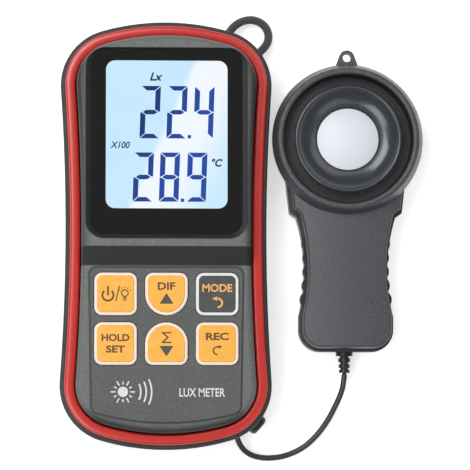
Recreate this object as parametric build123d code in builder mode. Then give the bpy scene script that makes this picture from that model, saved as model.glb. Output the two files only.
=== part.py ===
"""Handheld light meter with a corded sensor head, modelled as separate pieces.

The meter lies on its back on the XY plane: X is across it, Y runs up its face and Z out of its
display. The origin is the middle of its back. The sensor head lies beside it, on the same plane.
"""

from build123d import *

import math
import os

# ---------------------------------------------------------------- meter: outline and levels
HALF_LENGTH = 80.0
HALF_WAIST = 37.5  # half the width at the middle, the narrowest place
CORNER_X = 18.2  # centre of the big corner arcs
CORNER_Y = 56.1
CORNER_RADIUS = 21.3

SIDE_FOOT_INSET = 3.4  # how far the side walls lean in at the back face
SIDE_TOP_Z = 15.0  # above this the side walls stand upright
RIM_Z = 22.0
BACK_EDGE_RADIUS = 4.0
WALL = 2.4
FLOOR = 2.6

BAND_OUTER = 2.45
BAND_LIP = 1.65  # the band's top laps over the rim as far as this
BAND_INNER = 5.75
BAND_BASE_Z = 17.0
BAND_TOP_Z = 24.4
COVER_INSET = 5.95
COVER_WALL = 2.1
FLANGE_Z = 14.9
FLANGE_THICK = 2.0
KEYPAD_Z = 28.5
DISPLAY_Z = 31.0
CEILING_Z = 26.2  # underside of the front face
SHOULDER_RADIUS = 2.3
STEP_LOW_Y = -11.9  # foot of the sloped step between keypad and display
STEP_HIGH_Y = -4.8

# ---------------------------------------------------------------- display
LENS_WIDTH = 56.1
LENS_HEIGHT = 68.9
LENS_Y = 34.2
LENS_CORNER = 5.2
LENS_SEAT_Z = 28.8
LENS_TOP_Z = 30.0
BORDER_THICK = 0.12
RECESS_WIDTH = 60.3
RECESS_HEIGHT = 71.3
RECESS_Y = 33.6
RECESS_CORNER = 7.0
WINDOW_WIDTH = 45.2
WINDOW_HEIGHT = 55.2
WINDOW_Y = 36.9
WINDOW_CORNER = 3.4
GLASS_WIDTH = 47.4
GLASS_HEIGHT = 57.4
FIT = 0.1  # gap round a piece that is laid in a pocket

# ---------------------------------------------------------------- keypad
KEY_SIZE = 15.85
KEY_CORNER = 3.0
KEY_BORDER = 1.1
KEY_GAP = 0.3
KEY_FLANGE = 0.7
KEY_PITCH_X = 18.8
KEY_ROW_Y = (-22.5, -40.9)
KEY_TOP_Z = 29.3
KEY_CAP_TOP_Z = 29.6
KEY_FLANGE_Z = 24.9
PANEL_HALF_WIDTH = 28.7
PANEL_TOP_Y = -12.4
PANEL_END_Y = -66.2
PANEL_BOTTOM_Y = -70.3
PANEL_TAPER = 0.9
PANEL_DEPTH = 0.5

# ---------------------------------------------------------------- boards, cells and screws
BOARD_Z = 17.6
BOARD_THICK = 1.6
KEY_BOARD_Z = 21.6
KEY_BOARD_THICK = 1.2
DOME_HEIGHT = 0.35
CELL_DIAMETER = 10.5  # AAA cells
CELL_LENGTH = 44.5
CELL_PITCH = 11.6
CELL_Y = -32.0
CELL_Z = 7.9
TUB_WIDTH = 35.8
TUB_LENGTH = 51.2
TUB_CEILING_Z = 14.0
TUB_WALL = 1.3
DOOR_WIDTH = 41.2
DOOR_LENGTH = 57.0
DOOR_THICK = 1.6
DOOR_GAP = 0.3
CASE_SCREWS = ((0.0, 69.9), (-20.0, -62.0), (20.0, -62.0))
BOARD_SCREWS = ((-24.0, -2.0), (24.0, -2.0), (-8.0, -64.0), (8.0, -64.0))

# ---------------------------------------------------------------- side fittings
PORT_ANGLE = -41.0  # direction of the socket from the centre of the lower right corner
PORT_Z = 9.6
PLUG_HEAD_RADIUS = 3.8
GLAND_POINT = (26.75, -73.05, 5.5)  # where the cord leaves the gland
GLAND_HEADING = -78.0
CORD_DIAMETER = 2.2
LOOP_DIAMETER = 3.15

# ---------------------------------------------------------------- sensor head
HEAD_X = 68.2
HEAD_Y = 36.4
HEAD_RADIUS = 28.4
HEAD_FOOT_RADIUS = 26.4  # the head's wall flares from here, at its back
HEAD_WIDEST_Z = 18.2
HEAD_TOP_Z = 24.0
HEAD_FLOOR_Z = 17.4
SPLIT_Z = 9.5  # joint between the two shells
PLATE_Z = 18.8
PLATE_INSET = 1.15
PLATE_CROWN_RADIUS = 105.0  # the handle's face is crowned from side to side
PLATE_EDGE_RADIUS = 1.0
SENSOR_WALL = 2.4
LIP_RADIUS = 26.9
RECESS_OUTER = 24.0
BOWL_RADIUS = 20.2
BOWL_RIM = 18.6
BOWL_INNER = 12.05
DIFFUSER_RADIUS = 11.55
DIFFUSER_BASE_Z = 16.0
DIFFUSER_TOP_Z = 22.6
DIFFUSER_RISE = 2.7  # height of the dome above its straight edge
HANDLE_END = -79.3  # the handle's points are measured from the head's centre
HANDLE_CORNER = 8.2
HANDLE_FOOT = 17.8
HANDLE_WAIST = 15.75
LUG_HOLE_Y = 31.2
LUG_HOLE_DIAMETER = 3.05
LUG_TIP_RADIUS = 2.9
LUG_Z = 13.2
LUG_THICK = 3.2
GRIP_LOBES = 5
GRIP_TOP_Y = -38.5
GRIP_PITCH = 5.3
GRIP_DEPTH = 1.3
GRIP_STANDS_OUT = 0.5
GRIP_LOBE_RADIUS = 3.6
RELIEF_X = 67.7
RELIEF_Z = 6.2
RELIEF_START_Y = -42.8
FLEX_Y = -51.8  # the cord bends here when the head is lifted
PROBE_SCREWS_Y = (-37.5, -68.5)

CORD_ROUTE = [
    GLAND_POINT,
    (27.17, -75.01, 5.5),
    (27.97, -77.1, 5.1),
    (29.15, -79.0, 4.5),
    (30.8, -80.6, 3.7),
    (32.8, -81.75, 2.9),
    (35.1, -82.45, 2.15),
    (38.9, -82.95, 1.4),
    (45.3, -82.25, 1.13),
    (52.3, -79.2, 1.12),
    (57.6, -74.4, 1.35),
    (61.8, -68.6, 2.3),
    (64.9, -62.4, 3.9),
    (66.5, -58.6, 5.0),
    (67.4, -55.2, 5.8),
    (RELIEF_X, FLEX_Y, RELIEF_Z),
]
LOOP_ROUTE = [
    (20.3, 72.4, 6.6),
    (22.8, 76.4, 6.3),
    (26.5, 81.8, 5.0),
    (32.0, 84.2, 3.0),
    (36.9, 82.9, 2.1),
    (39.4, 79.4, 2.2),
    (39.3, 75.4, 3.2),
    (37.1, 72.1, 4.6),
    (33.9, 69.4, 5.9),
    (30.7, 66.9, 6.5),
]


# ---------------------------------------------------------------- outlines
def body_outline(inset: float) -> Sketch:
    """The meter's outline, moved inwards by inset: concave sides, big corners and bowed ends."""
    length = HALF_LENGTH - inset
    waist = HALF_WAIST - inset
    corner = CORNER_RADIUS - inset
    reach = waist - CORNER_X
    rise = length - CORNER_Y
    side_radius = (reach**2 + CORNER_Y**2 - corner**2) / (2 * (corner - reach))
    end_radius = (CORNER_X**2 + rise**2 - corner**2) / (2 * (rise - corner))
    to_side = math.atan2(-CORNER_Y, waist + side_radius - CORNER_X)
    to_end = math.atan2(CORNER_Y - (length - end_radius), CORNER_X)
    middle = (to_side + to_end) / 2
    low, mid, high = [
        (CORNER_X + corner * math.cos(a), CORNER_Y + corner * math.sin(a))
        for a in (to_side, middle, to_end)
    ]
    with BuildSketch(mode=Mode.PRIVATE) as outline:
        with BuildLine():
            for sx in (1, -1):
                ThreePointArc((sx * low[0], -low[1]), (sx * waist, 0), (sx * low[0], low[1]))
                for sy in (1, -1):
                    ThreePointArc(*[(sx * x, sy * y) for x, y in (low, mid, high)])
            for sy in (1, -1):
                ThreePointArc((-high[0], sy * high[1]), (0, sy * length), (high[0], sy * high[1]))
        make_face()
    return outline.sketch


def key_outline(kind: str, grow: float) -> Sketch:
    """A key seen from above: square, or with a half-round lower or upper end."""
    side = KEY_SIZE + 2 * grow
    with BuildSketch(mode=Mode.PRIVATE) as outline:
        RectangleRounded(side, side, KEY_CORNER + grow)
        if kind != "square":
            away = -1 if kind == "round_below" else 1
            with Locations((0, away * side / 2)):
                Rectangle(side, side, mode=Mode.SUBTRACT)
            Circle(side / 2)
    return outline.sketch


def panel_outline(grow: float) -> Sketch:
    """The keypad panel: nearly straight sides and a lower edge bowed like the meter's end."""
    top = PANEL_HALF_WIDTH + grow
    end = PANEL_HALF_WIDTH - PANEL_TAPER + grow
    with BuildSketch(mode=Mode.PRIVATE) as outline:
        with BuildLine():
            Polyline(
                (-end, PANEL_END_Y - grow),
                (-top, PANEL_TOP_Y + grow),
                (top, PANEL_TOP_Y + grow),
                (end, PANEL_END_Y - grow),
            )
            ThreePointArc(
                (-end, PANEL_END_Y - grow), (0, PANEL_BOTTOM_Y - grow), (end, PANEL_END_Y - grow)
            )
        make_face()
        fillet(outline.vertices(), radius=2.8 + grow)
    return outline.sketch


def handle_outline(inset: float) -> Sketch:
    """The sensor's handle below its head: shoulders, a waist and a foot with round corners."""
    waist = HANDLE_WAIST - inset
    foot = HANDLE_FOOT - inset
    end = HANDLE_END + inset
    corner = HANDLE_CORNER - inset
    turn = corner * (1 - math.sqrt(0.5))
    with BuildSketch(mode=Mode.PRIVATE) as outline:
        with BuildLine():
            for side in (1, -1):
                Polyline(
                    (0, -10),
                    (side * (22.9 - inset), -12),
                    (side * (21.2 - inset), -26.9 + inset),
                    (side * (18.7 - inset), -28.6 + inset),
                )
                ThreePointArc(
                    (side * (18.7 - inset), -28.6 + inset),
                    (side * waist, -46.0),
                    (side * foot, -66.0),
                )
                Line((side * foot, -66.0), (side * foot, end + corner))
                ThreePointArc(
                    (side * foot, end + corner),
                    (side * (foot - turn), end + turn),
                    (side * (foot - corner), end),
                )
            Line((-foot + corner, end), (foot - corner, end))
        make_face()
    return outline.sketch


def lug_outline() -> Sketch:
    """The eye above the head: a tapering tab with a round tip."""
    with BuildSketch(mode=Mode.PRIVATE) as outline:
        with BuildLine():
            Polyline((-4.6, 27.0), (4.6, 27.0), (LUG_TIP_RADIUS - 0.2, 32.3))
            ThreePointArc(
                (LUG_TIP_RADIUS - 0.2, 32.3),
                (0, LUG_HOLE_Y + LUG_TIP_RADIUS),
                (0.2 - LUG_TIP_RADIUS, 32.3),
            )
            Line((0.2 - LUG_TIP_RADIUS, 32.3), (-4.6, 27.0))
        make_face()
        with Locations((0, LUG_HOLE_Y)):
            Circle(LUG_HOLE_DIAMETER / 2, mode=Mode.SUBTRACT)
    return outline.sketch


def head_plane(z: float) -> Plane:
    """A plane at height z whose origin is over the centre of the sensor head."""
    return Plane(origin=(HEAD_X, HEAD_Y, z))


SECTION = Plane(origin=(HEAD_X, HEAD_Y, 0), x_dir=(1, 0, 0), z_dir=(0, -1, 0))
HEAD_AXIS = Axis((HEAD_X, HEAD_Y, 0), (0, 0, 1))


def outward(origin: tuple, heading: float) -> Plane:
    """A plane whose normal lies level and points along heading, in degrees from +X."""
    angle = math.radians(heading)
    return Plane(origin=origin, x_dir=(0, 0, 1), z_dir=(math.cos(angle), math.sin(angle), 0))


def arc_radii(route: list) -> list[float]:
    """The largest radius that the runs beside each corner of a route leave room for."""
    points = [Vector(*p) for p in route]
    radii = []
    for before, here, after in zip(points, points[1:], points[2:]):
        turn = (here - before).get_angle(after - here)
        run = min((here - before).length, (after - here).length)
        radii.append(0.45 * run / math.tan(math.radians(turn / 2)))
    return radii


# ---------------------------------------------------------------- meter: housing
port_heading = math.radians(PORT_ANGLE)


def port_point(distance: float) -> tuple:
    """A point on the axis of the side socket, at a distance from the corner arc's centre."""
    return (
        CORNER_X + distance * math.cos(port_heading),
        -CORNER_Y + distance * math.sin(port_heading),
        PORT_Z,
    )


side_lean = math.degrees(math.atan(SIDE_FOOT_INSET / SIDE_TOP_Z))

with BuildPart() as back_cover:
    with BuildSketch():
        add(body_outline(SIDE_FOOT_INSET))
    extrude(amount=SIDE_TOP_Z, taper=-side_lean)
    with BuildSketch(Plane.XY.offset(SIDE_TOP_Z)):
        add(body_outline(0))
    extrude(amount=RIM_Z - SIDE_TOP_Z)
    fillet(back_cover.edges().group_by(Axis.Z)[0], radius=BACK_EDGE_RADIUS)
    fillet(back_cover.edges().group_by(Axis.Z)[-1], radius=0.9)
    with BuildSketch(Plane.XY.offset(FLOOR)):
        add(body_outline(SIDE_FOOT_INSET * (1 - FLOOR / SIDE_TOP_Z) + WALL))
    extrude(amount=FLANGE_Z - FLOOR, taper=-side_lean, mode=Mode.SUBTRACT)
    with BuildSketch(Plane.XY.offset(FLANGE_Z - 0.05)):
        add(body_outline(WALL - 0.05))
    extrude(amount=RIM_Z, mode=Mode.SUBTRACT)
    # ledge that the front cover's flange stands on
    with BuildSketch(Plane.XY.offset(FLANGE_Z - 1.9)):
        add(body_outline(WALL))
        add(body_outline(WALL + 2.4), mode=Mode.SUBTRACT)
    extrude(amount=1.85)
    # battery tub, open at the back
    with BuildSketch(Plane.XY.offset(FLOOR)):
        with Locations((0, CELL_Y)):
            Rectangle(TUB_WIDTH + 2 * TUB_WALL, TUB_LENGTH + 2 * TUB_WALL)
    extrude(amount=TUB_CEILING_Z + TUB_WALL - FLOOR)
    with BuildSketch():
        with Locations((0, CELL_Y)):
            Rectangle(TUB_WIDTH, TUB_LENGTH)
    extrude(amount=TUB_CEILING_Z, mode=Mode.SUBTRACT)
    with BuildSketch():
        with Locations((0, CELL_Y)):
            RectangleRounded(DOOR_WIDTH + 2 * DOOR_GAP, DOOR_LENGTH + 2 * DOOR_GAP, 3.0)
    extrude(amount=DOOR_THICK + 0.15, mode=Mode.SUBTRACT)
    # screw pillars
    with BuildSketch(Plane.XY.offset(FLOOR - 0.1)):
        with Locations(*CASE_SCREWS):
            Circle(3.9)
    extrude(amount=12.1 - FLOOR)
    with BuildSketch():
        with Locations(*CASE_SCREWS):
            Circle(2.7)
    extrude(amount=9.5, mode=Mode.SUBTRACT)
    with BuildSketch():
        with Locations(*CASE_SCREWS):
            Circle(1.5)
    extrude(amount=13, mode=Mode.SUBTRACT)
    # label recess
    with BuildSketch():
        with Locations((0, 34)):
            RectangleRounded(42.2, 30.2, 2.1)
    extrude(amount=0.4, mode=Mode.SUBTRACT)
    # holes in the side wall: socket, gland and the two ends of the hanging loop
    with BuildSketch(outward(port_point(12), PORT_ANGLE)):
        Circle(3.6)
    extrude(amount=13, mode=Mode.SUBTRACT)
    with BuildSketch(outward(GLAND_POINT, GLAND_HEADING)):
        Circle(1.85)
    extrude(amount=-6, mode=Mode.SUBTRACT)
    with BuildSketch(outward(GLAND_POINT, GLAND_HEADING)):
        Circle(2.6)
    extrude(amount=5, mode=Mode.SUBTRACT)
    for end, towards in ((LOOP_ROUTE[0], LOOP_ROUTE[1]), (LOOP_ROUTE[-1], LOOP_ROUTE[-2])):
        along = Vector(*towards) - Vector(*end)
        with BuildSketch(Plane(origin=end, z_dir=along)):
            Circle(LOOP_DIAMETER / 2 + 0.15)
        extrude(amount=9, mode=Mode.SUBTRACT)
back_cover.part.label = "back_cover"

with BuildPart() as front_cover:
    with BuildSketch(Plane.XY.offset(FLANGE_Z)):
        add(body_outline(COVER_INSET))
    extrude(amount=DISPLAY_Z - FLANGE_Z)
    # keypad level and the sloped step up to the display
    with BuildSketch(Plane.YZ.offset(-60)):
        Polygon(
            (-90, KEYPAD_Z), (STEP_LOW_Y, KEYPAD_Z), (STEP_HIGH_Y, DISPLAY_Z),
            (STEP_HIGH_Y, DISPLAY_Z + 5), (-90, DISPLAY_Z + 5), align=None,
        )
    extrude(amount=120, mode=Mode.SUBTRACT)
    top_faces = front_cover.faces().filter_by(lambda f: f.center().Z > 26).filter_by(
        lambda f: f.normal_at().Z > 0.5
    )
    rim_edges = [
        e for f in top_faces for e in f.edges() if e.center().Z > 26 and e.geom_type == GeomType.CIRCLE
    ]
    slope_ends = [
        e for f in top_faces for e in f.edges()
        if abs(e.center().X) > 25 and KEYPAD_Z + 0.2 < e.center().Z < DISPLAY_Z - 0.2
    ]
    fillet(ShapeList(rim_edges + slope_ends), radius=SHOULDER_RADIUS)
    with BuildSketch(Plane.XY.offset(FLANGE_Z)):
        add(body_outline(COVER_INSET + COVER_WALL))
    extrude(amount=CEILING_Z - FLANGE_Z, mode=Mode.SUBTRACT)
    with BuildSketch(Plane.XY.offset(FLANGE_Z)):
        add(body_outline(BAND_OUTER))
        add(body_outline(COVER_INSET + 1.0), mode=Mode.SUBTRACT)
    extrude(amount=FLANGE_THICK)
    # display recess, lens pocket and the opening over the display glass
    with BuildSketch(Plane.XY.offset(DISPLAY_Z)):
        with Locations((0, RECESS_Y)):
            RectangleRounded(RECESS_WIDTH, RECESS_HEIGHT, RECESS_CORNER)
    with BuildSketch(Plane.XY.offset(LENS_TOP_Z)):
        with Locations((0, LENS_Y)):
            RectangleRounded(LENS_WIDTH + 2 * FIT, LENS_HEIGHT + 2 * FIT, LENS_CORNER + FIT)
    loft(ruled=True, mode=Mode.SUBTRACT)
    with BuildSketch(Plane.XY.offset(LENS_SEAT_Z)):
        with Locations((0, LENS_Y)):
            RectangleRounded(LENS_WIDTH + 2 * FIT, LENS_HEIGHT + 2 * FIT, LENS_CORNER + FIT)
    extrude(amount=DISPLAY_Z - LENS_SEAT_Z - 0.99, mode=Mode.SUBTRACT)
    with BuildSketch(Plane.XY.offset(CEILING_Z - 1)):
        with Locations((0, WINDOW_Y)):
            Rectangle(GLASS_WIDTH + 2 * FIT, GLASS_HEIGHT + 2 * FIT)
    extrude(amount=LENS_SEAT_Z + 1 - CEILING_Z, mode=Mode.SUBTRACT)
    # keypad panel recess and the six key holes
    with BuildSketch(Plane.XY.offset(KEYPAD_Z - PANEL_DEPTH)):
        add(panel_outline(0.35))
    extrude(amount=PANEL_DEPTH + 1, mode=Mode.SUBTRACT)
    with BuildSketch(Plane.XY.offset(CEILING_Z - 1)):
        for row, y in enumerate(KEY_ROW_Y):
            for column in (-1, 0, 1):
                shape = "square" if column else ("round_below", "round_above")[row]
                with Locations((column * KEY_PITCH_X, y)):
                    add(key_outline(shape, KEY_GAP))
    extrude(amount=4, mode=Mode.SUBTRACT)
    # bosses for the case screws and posts for the main board
    with BuildSketch(Plane.XY.offset(12.2)):
        with Locations(*CASE_SCREWS):
            Circle(2.5)
    extrude(amount=CEILING_Z + 0.5 - 12.2)
    with BuildSketch(Plane.XY.offset(12.2)):
        with Locations(*CASE_SCREWS):
            Circle(1.2)
    extrude(amount=9, mode=Mode.SUBTRACT)
    with BuildSketch(Plane.XY.offset(BOARD_Z + BOARD_THICK)):
        with Locations(*BOARD_SCREWS):
            Circle(2.3)
    extrude(amount=CEILING_Z + 0.5 - BOARD_Z - BOARD_THICK)
    with BuildSketch(Plane.XY.offset(BOARD_Z + BOARD_THICK)):
        with Locations(*BOARD_SCREWS):
            Circle(0.95)
    extrude(amount=5, mode=Mode.SUBTRACT)
front_cover.part.label = "front_cover"

with BuildPart() as bumper_band:
    with BuildSketch(Plane.XY.offset(BAND_BASE_Z)):
        add(body_outline(BAND_OUTER + 0.05))
        add(body_outline(BAND_INNER), mode=Mode.SUBTRACT)
    extrude(amount=BAND_TOP_Z - BAND_BASE_Z)
    with BuildSketch(Plane.XY.offset(RIM_Z + 0.05)):
        add(body_outline(BAND_LIP))
        add(body_outline(BAND_INNER), mode=Mode.SUBTRACT)
    extrude(amount=BAND_TOP_Z - RIM_Z - 0.05)
    fillet(bumper_band.edges().group_by(Axis.Z)[-1], radius=1.2)
bumper_band.part.label = "bumper_band"

# ---------------------------------------------------------------- display stack
with BuildPart() as display_lens:
    with BuildSketch(Plane.XY.offset(LENS_SEAT_Z + BORDER_THICK)):
        with Locations((0, LENS_Y)):
            RectangleRounded(LENS_WIDTH, LENS_HEIGHT, LENS_CORNER)
    extrude(amount=LENS_TOP_Z - LENS_SEAT_Z - BORDER_THICK)
display_lens.part.label = "display_lens"

with BuildPart() as lens_border:
    with BuildSketch(Plane.XY.offset(LENS_SEAT_Z)):
        with Locations((0, LENS_Y)):
            RectangleRounded(LENS_WIDTH, LENS_HEIGHT, LENS_CORNER)
        with Locations((0, WINDOW_Y)):
            RectangleRounded(WINDOW_WIDTH, WINDOW_HEIGHT, WINDOW_CORNER, mode=Mode.SUBTRACT)
    extrude(amount=BORDER_THICK)
lens_border.part.label = "lens_border"

with BuildPart() as lcd_glass:
    with BuildSketch(Plane.XY.offset(26.9)):
        with Locations((0, WINDOW_Y)):
            Rectangle(GLASS_WIDTH, GLASS_HEIGHT)
    extrude(amount=1.8)
lcd_glass.part.label = "lcd_glass"

with BuildPart() as lcd_backlight:
    with BuildSketch(Plane.XY.offset(24.1)):
        with Locations((0, WINDOW_Y + 1.8)):
            Rectangle(GLASS_WIDTH, GLASS_HEIGHT - 3.6)
    extrude(amount=2.7)
lcd_backlight.part.label = "lcd_backlight"

zebra_y = WINDOW_Y - GLASS_HEIGHT / 2 + 1.5
with BuildPart() as lcd_frame:
    with BuildSketch(Plane.XY.offset(BOARD_Z + BOARD_THICK + 0.05)):
        with Locations((0, WINDOW_Y)):
            RectangleRounded(50.6, 60.4, 1.5)
    extrude(amount=6.75)
    with BuildSketch(Plane.XY.offset(24.05)):
        with Locations((0, WINDOW_Y)):
            Rectangle(GLASS_WIDTH + 2 * FIT, GLASS_HEIGHT + 2 * FIT)
    extrude(amount=4, mode=Mode.SUBTRACT)
    with BuildSketch(Plane.XY.offset(BOARD_Z + BOARD_THICK)):
        with Locations((0, WINDOW_Y + 3)):
            Rectangle(46, 48)
    extrude(amount=3.6, mode=Mode.SUBTRACT)
    with BuildSketch(Plane.XY.offset(BOARD_Z + BOARD_THICK)):
        with Locations((0, zebra_y)):
            Rectangle(44.4, 2.2)
    extrude(amount=6, mode=Mode.SUBTRACT)
lcd_frame.part.label = "lcd_frame"

with BuildPart() as lcd_contact_strip:
    with BuildSketch(Plane.XY.offset(BOARD_Z + BOARD_THICK + 0.02)):
        with Locations((0, zebra_y)):
            Rectangle(44, 1.8)
    extrude(amount=7.6)
lcd_contact_strip.part.label = "lcd_contact_strip"

# ---------------------------------------------------------------- keypad
with BuildPart() as keypad_panel:
    with BuildSketch(Plane.XY.offset(KEYPAD_Z - PANEL_DEPTH + 0.02)):
        add(panel_outline(0))
        for row, y in enumerate(KEY_ROW_Y):
            for column in (-1, 0, 1):
                shape = "square" if column else ("round_below", "round_above")[row]
                with Locations((column * KEY_PITCH_X, y)):
                    add(key_outline(shape, KEY_GAP), mode=Mode.SUBTRACT)
    extrude(amount=PANEL_DEPTH - 0.04)
keypad_panel.part.label = "keypad_panel"

KEYS = {
    "power": (-1, 0, "square"),
    "up": (0, 0, "round_below"),
    "mode": (1, 0, "square"),
    "hold": (-1, 1, "square"),
    "down": (0, 1, "round_above"),
    "record": (1, 1, "square"),
}
key_parts = {}
for name, (column, row, kind) in KEYS.items():
    centre = (column * KEY_PITCH_X, KEY_ROW_Y[row])
    with BuildPart() as rim:
        with BuildSketch(Plane(origin=(*centre, KEY_FLANGE_Z))):
            add(key_outline(kind, KEY_FLANGE))
        extrude(amount=0.8)
        with BuildSketch(Plane(origin=(*centre, KEY_FLANGE_Z))):
            add(key_outline(kind, 0))
        extrude(amount=KEY_TOP_Z - KEY_FLANGE_Z)
        fillet(rim.edges().group_by(Axis.Z)[-1], radius=0.45)
        with BuildSketch(Plane(origin=(*centre, KEY_TOP_Z - 0.6))):
            add(key_outline(kind, -KEY_BORDER))
        extrude(amount=1, mode=Mode.SUBTRACT)
        with BuildSketch(Plane(origin=(*centre, KEY_FLANGE_Z))):
            Circle(2.0)
        extrude(amount=-0.9)
    rim.part.label = f"key_{name}_rim"
    with BuildPart() as cap:
        with BuildSketch(Plane(origin=(*centre, KEY_TOP_Z - 0.58))):
            add(key_outline(kind, -KEY_BORDER - 0.02))
        extrude(amount=KEY_CAP_TOP_Z - KEY_TOP_Z + 0.58)
        fillet(cap.edges().group_by(Axis.Z)[-1], radius=0.3)
    cap.part.label = f"key_{name}_cap"
    key_parts[rim.part.label] = rim.part
    key_parts[cap.part.label] = cap.part

# ---------------------------------------------------------------- boards
with BuildPart() as main_board:
    with BuildSketch(Plane.XY.offset(BOARD_Z)):
        add(body_outline(9.5))
        with Locations(*CASE_SCREWS):
            Circle(3.0, mode=Mode.SUBTRACT)
        with Locations(*BOARD_SCREWS):
            Circle(1.3, mode=Mode.SUBTRACT)
    extrude(amount=BOARD_THICK)
main_board.part.label = "main_board"

with BuildPart() as board_chips:
    for place, size in (
        ((-8, 30), (10, 10, 1.6)),
        ((10, 34), (8, 5, 1.5)),
        ((14, 18), (5, 5, 1.4)),
        ((-17, 12), (4, 6, 1.2)),
        ((-20, 44), (3.2, 9, 2.4)),
    ):
        with BuildSketch(Plane(origin=(*place, BOARD_Z - 0.02))):
            Rectangle(size[0], size[1])
        extrude(amount=-size[2])
board_chips.part.label = "board_chips"

with BuildPart() as buzzer:
    with BuildSketch(Plane(origin=(12, 54, BOARD_Z - 0.02))):
        Circle(6.0)
    extrude(amount=-4.5)
    with BuildSketch(Plane(origin=(12, 54, BOARD_Z - 4.52))):
        Circle(0.8)
    extrude(amount=1.5, mode=Mode.SUBTRACT)
buzzer.part.label = "buzzer"

with BuildPart() as key_board:
    with BuildSketch(Plane(origin=(0, -31.7, KEY_BOARD_Z))):
        RectangleRounded(54, 39, 2.0)
    extrude(amount=KEY_BOARD_THICK)
key_board.part.label = "key_board"

with BuildPart() as key_board_posts:
    with BuildSketch(Plane(origin=(0, -31.7, BOARD_Z + BOARD_THICK + 0.02))):
        with GridLocations(47, 33, 2, 2):
            RegularPolygon(2.2, 6)
    extrude(amount=KEY_BOARD_Z - BOARD_Z - BOARD_THICK - 0.04)
key_board_posts.part.label = "key_board_posts"

with BuildPart() as dome_switches:
    with BuildSketch(Plane.XY.offset(KEY_BOARD_Z + KEY_BOARD_THICK + 0.01)):
        for y in KEY_ROW_Y:
            with Locations(*[(c * KEY_PITCH_X, y) for c in (-1, 0, 1)]):
                Circle(3.5)
    extrude(amount=DOME_HEIGHT, taper=60)
dome_switches.part.label = "dome_switches"

# ---------------------------------------------------------------- cells and contacts
cell_parts = {}
for index in range(3):
    x = (index - 1) * CELL_PITCH
    facing = 1 if index != 1 else -1  # the middle cell is the other way round
    with BuildPart() as cell:
        base = Plane(origin=(x, CELL_Y - facing * CELL_LENGTH / 2, CELL_Z), z_dir=(0, facing, 0))
        with BuildSketch(base):
            Circle(CELL_DIAMETER / 2)
        extrude(amount=CELL_LENGTH - 1.0)
        with BuildSketch(base):
            Circle(1.9)
        extrude(amount=CELL_LENGTH)
    cell.part.label = f"battery_{index + 1}"
    cell_parts[cell.part.label] = cell.part

with BuildPart() as battery_springs:
    for index in range(3):
        x = (index - 1) * CELL_PITCH
        facing = 1 if index != 1 else -1
        start = CELL_Y - facing * (TUB_LENGTH / 2 - 0.5)
        for turn in range(3):
            y = start + facing * (0.35 + turn * 0.85)
            with BuildSketch(Plane(origin=(x, y, CELL_Z), z_dir=(0, facing, 0))):
                Circle(3.6 - 0.5 * turn)
                Circle(2.9 - 0.5 * turn, mode=Mode.SUBTRACT)
            extrude(amount=0.6)
battery_springs.part.label = "battery_springs"

with BuildPart() as battery_plates:
    for index in range(3):
        for end in (1, -1):
            x = (index - 1) * CELL_PITCH
            y = CELL_Y + end * (TUB_LENGTH / 2 - 0.05)
            with BuildSketch(Plane(origin=(x, y, CELL_Z), z_dir=(0, -end, 0))):
                Rectangle(8.4, 8.4)
            extrude(amount=0.4)
battery_plates.part.label = "battery_plates"

with BuildPart() as battery_door:
    with BuildSketch():
        with Locations((0, CELL_Y)):
            RectangleRounded(DOOR_WIDTH, DOOR_LENGTH, 2.7)
    extrude(amount=DOOR_THICK)
    # ribs that a thumb pushes on, sunk in the outer face
    with BuildSketch():
        with Locations((0, CELL_Y - 18)):
            with GridLocations(0, 2.4, 1, 4):
                SlotOverall(16, 1.1)
    extrude(amount=0.5, mode=Mode.SUBTRACT)
battery_door.part.label = "battery_door"

# ---------------------------------------------------------------- screws and label
with BuildPart() as case_screws:
    with BuildSketch(Plane.XY.offset(7.4)):
        with Locations(*CASE_SCREWS):
            Circle(2.4)
    extrude(amount=2.05)
    with BuildSketch(Plane.XY.offset(7.4)):
        with Locations(*CASE_SCREWS):
            Rectangle(3.0, 0.7)
            Rectangle(0.7, 3.0)
    extrude(amount=1.0, mode=Mode.SUBTRACT)
    with BuildSketch(Plane.XY.offset(9.4)):
        with Locations(*CASE_SCREWS):
            Circle(1.1)
    extrude(amount=10.5)
case_screws.part.label = "case_screws"

with BuildPart() as board_screws:
    with BuildSketch(Plane.XY.offset(BOARD_Z - 1.3)):
        with Locations(*BOARD_SCREWS):
            Circle(1.9)
    extrude(amount=1.28)
    with BuildSketch(Plane.XY.offset(BOARD_Z - 1.3)):
        with Locations(*BOARD_SCREWS):
            Circle(0.85)
    extrude(amount=6.6)
board_screws.part.label = "board_screws"

with BuildPart() as back_label:
    with BuildSketch(Plane.XY.offset(0.18)):
        with Locations((0, 34)):
            RectangleRounded(42, 30, 2.0)
    extrude(amount=0.2)
back_label.part.label = "back_label"

# ---------------------------------------------------------------- socket, plug and gland
with BuildPart() as port_socket:
    with BuildSketch(outward(port_point(12.4), PORT_ANGLE)):
        Circle(3.5)
    extrude(amount=6.4)
    with BuildSketch(outward(port_point(13.4), PORT_ANGLE)):
        Circle(1.95)
    extrude(amount=10, mode=Mode.SUBTRACT)
port_socket.part.label = "port_socket"

with BuildPart() as port_plug:
    with BuildSketch(outward(port_point(14.2), PORT_ANGLE)):
        Circle(1.6)
    extrude(amount=7.2)
    with BuildSketch(outward(port_point(21.25), PORT_ANGLE)):
        Circle(PLUG_HEAD_RADIUS)
    extrude(amount=2.25)
    outer_edge = port_plug.edges().filter_by(GeomType.CIRCLE).sort_by(
        lambda e: -(e.center() - Vector(*port_point(0))).length
    )[0]
    fillet(outer_edge, radius=1.5)
port_plug.part.label = "port_plug"

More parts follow.
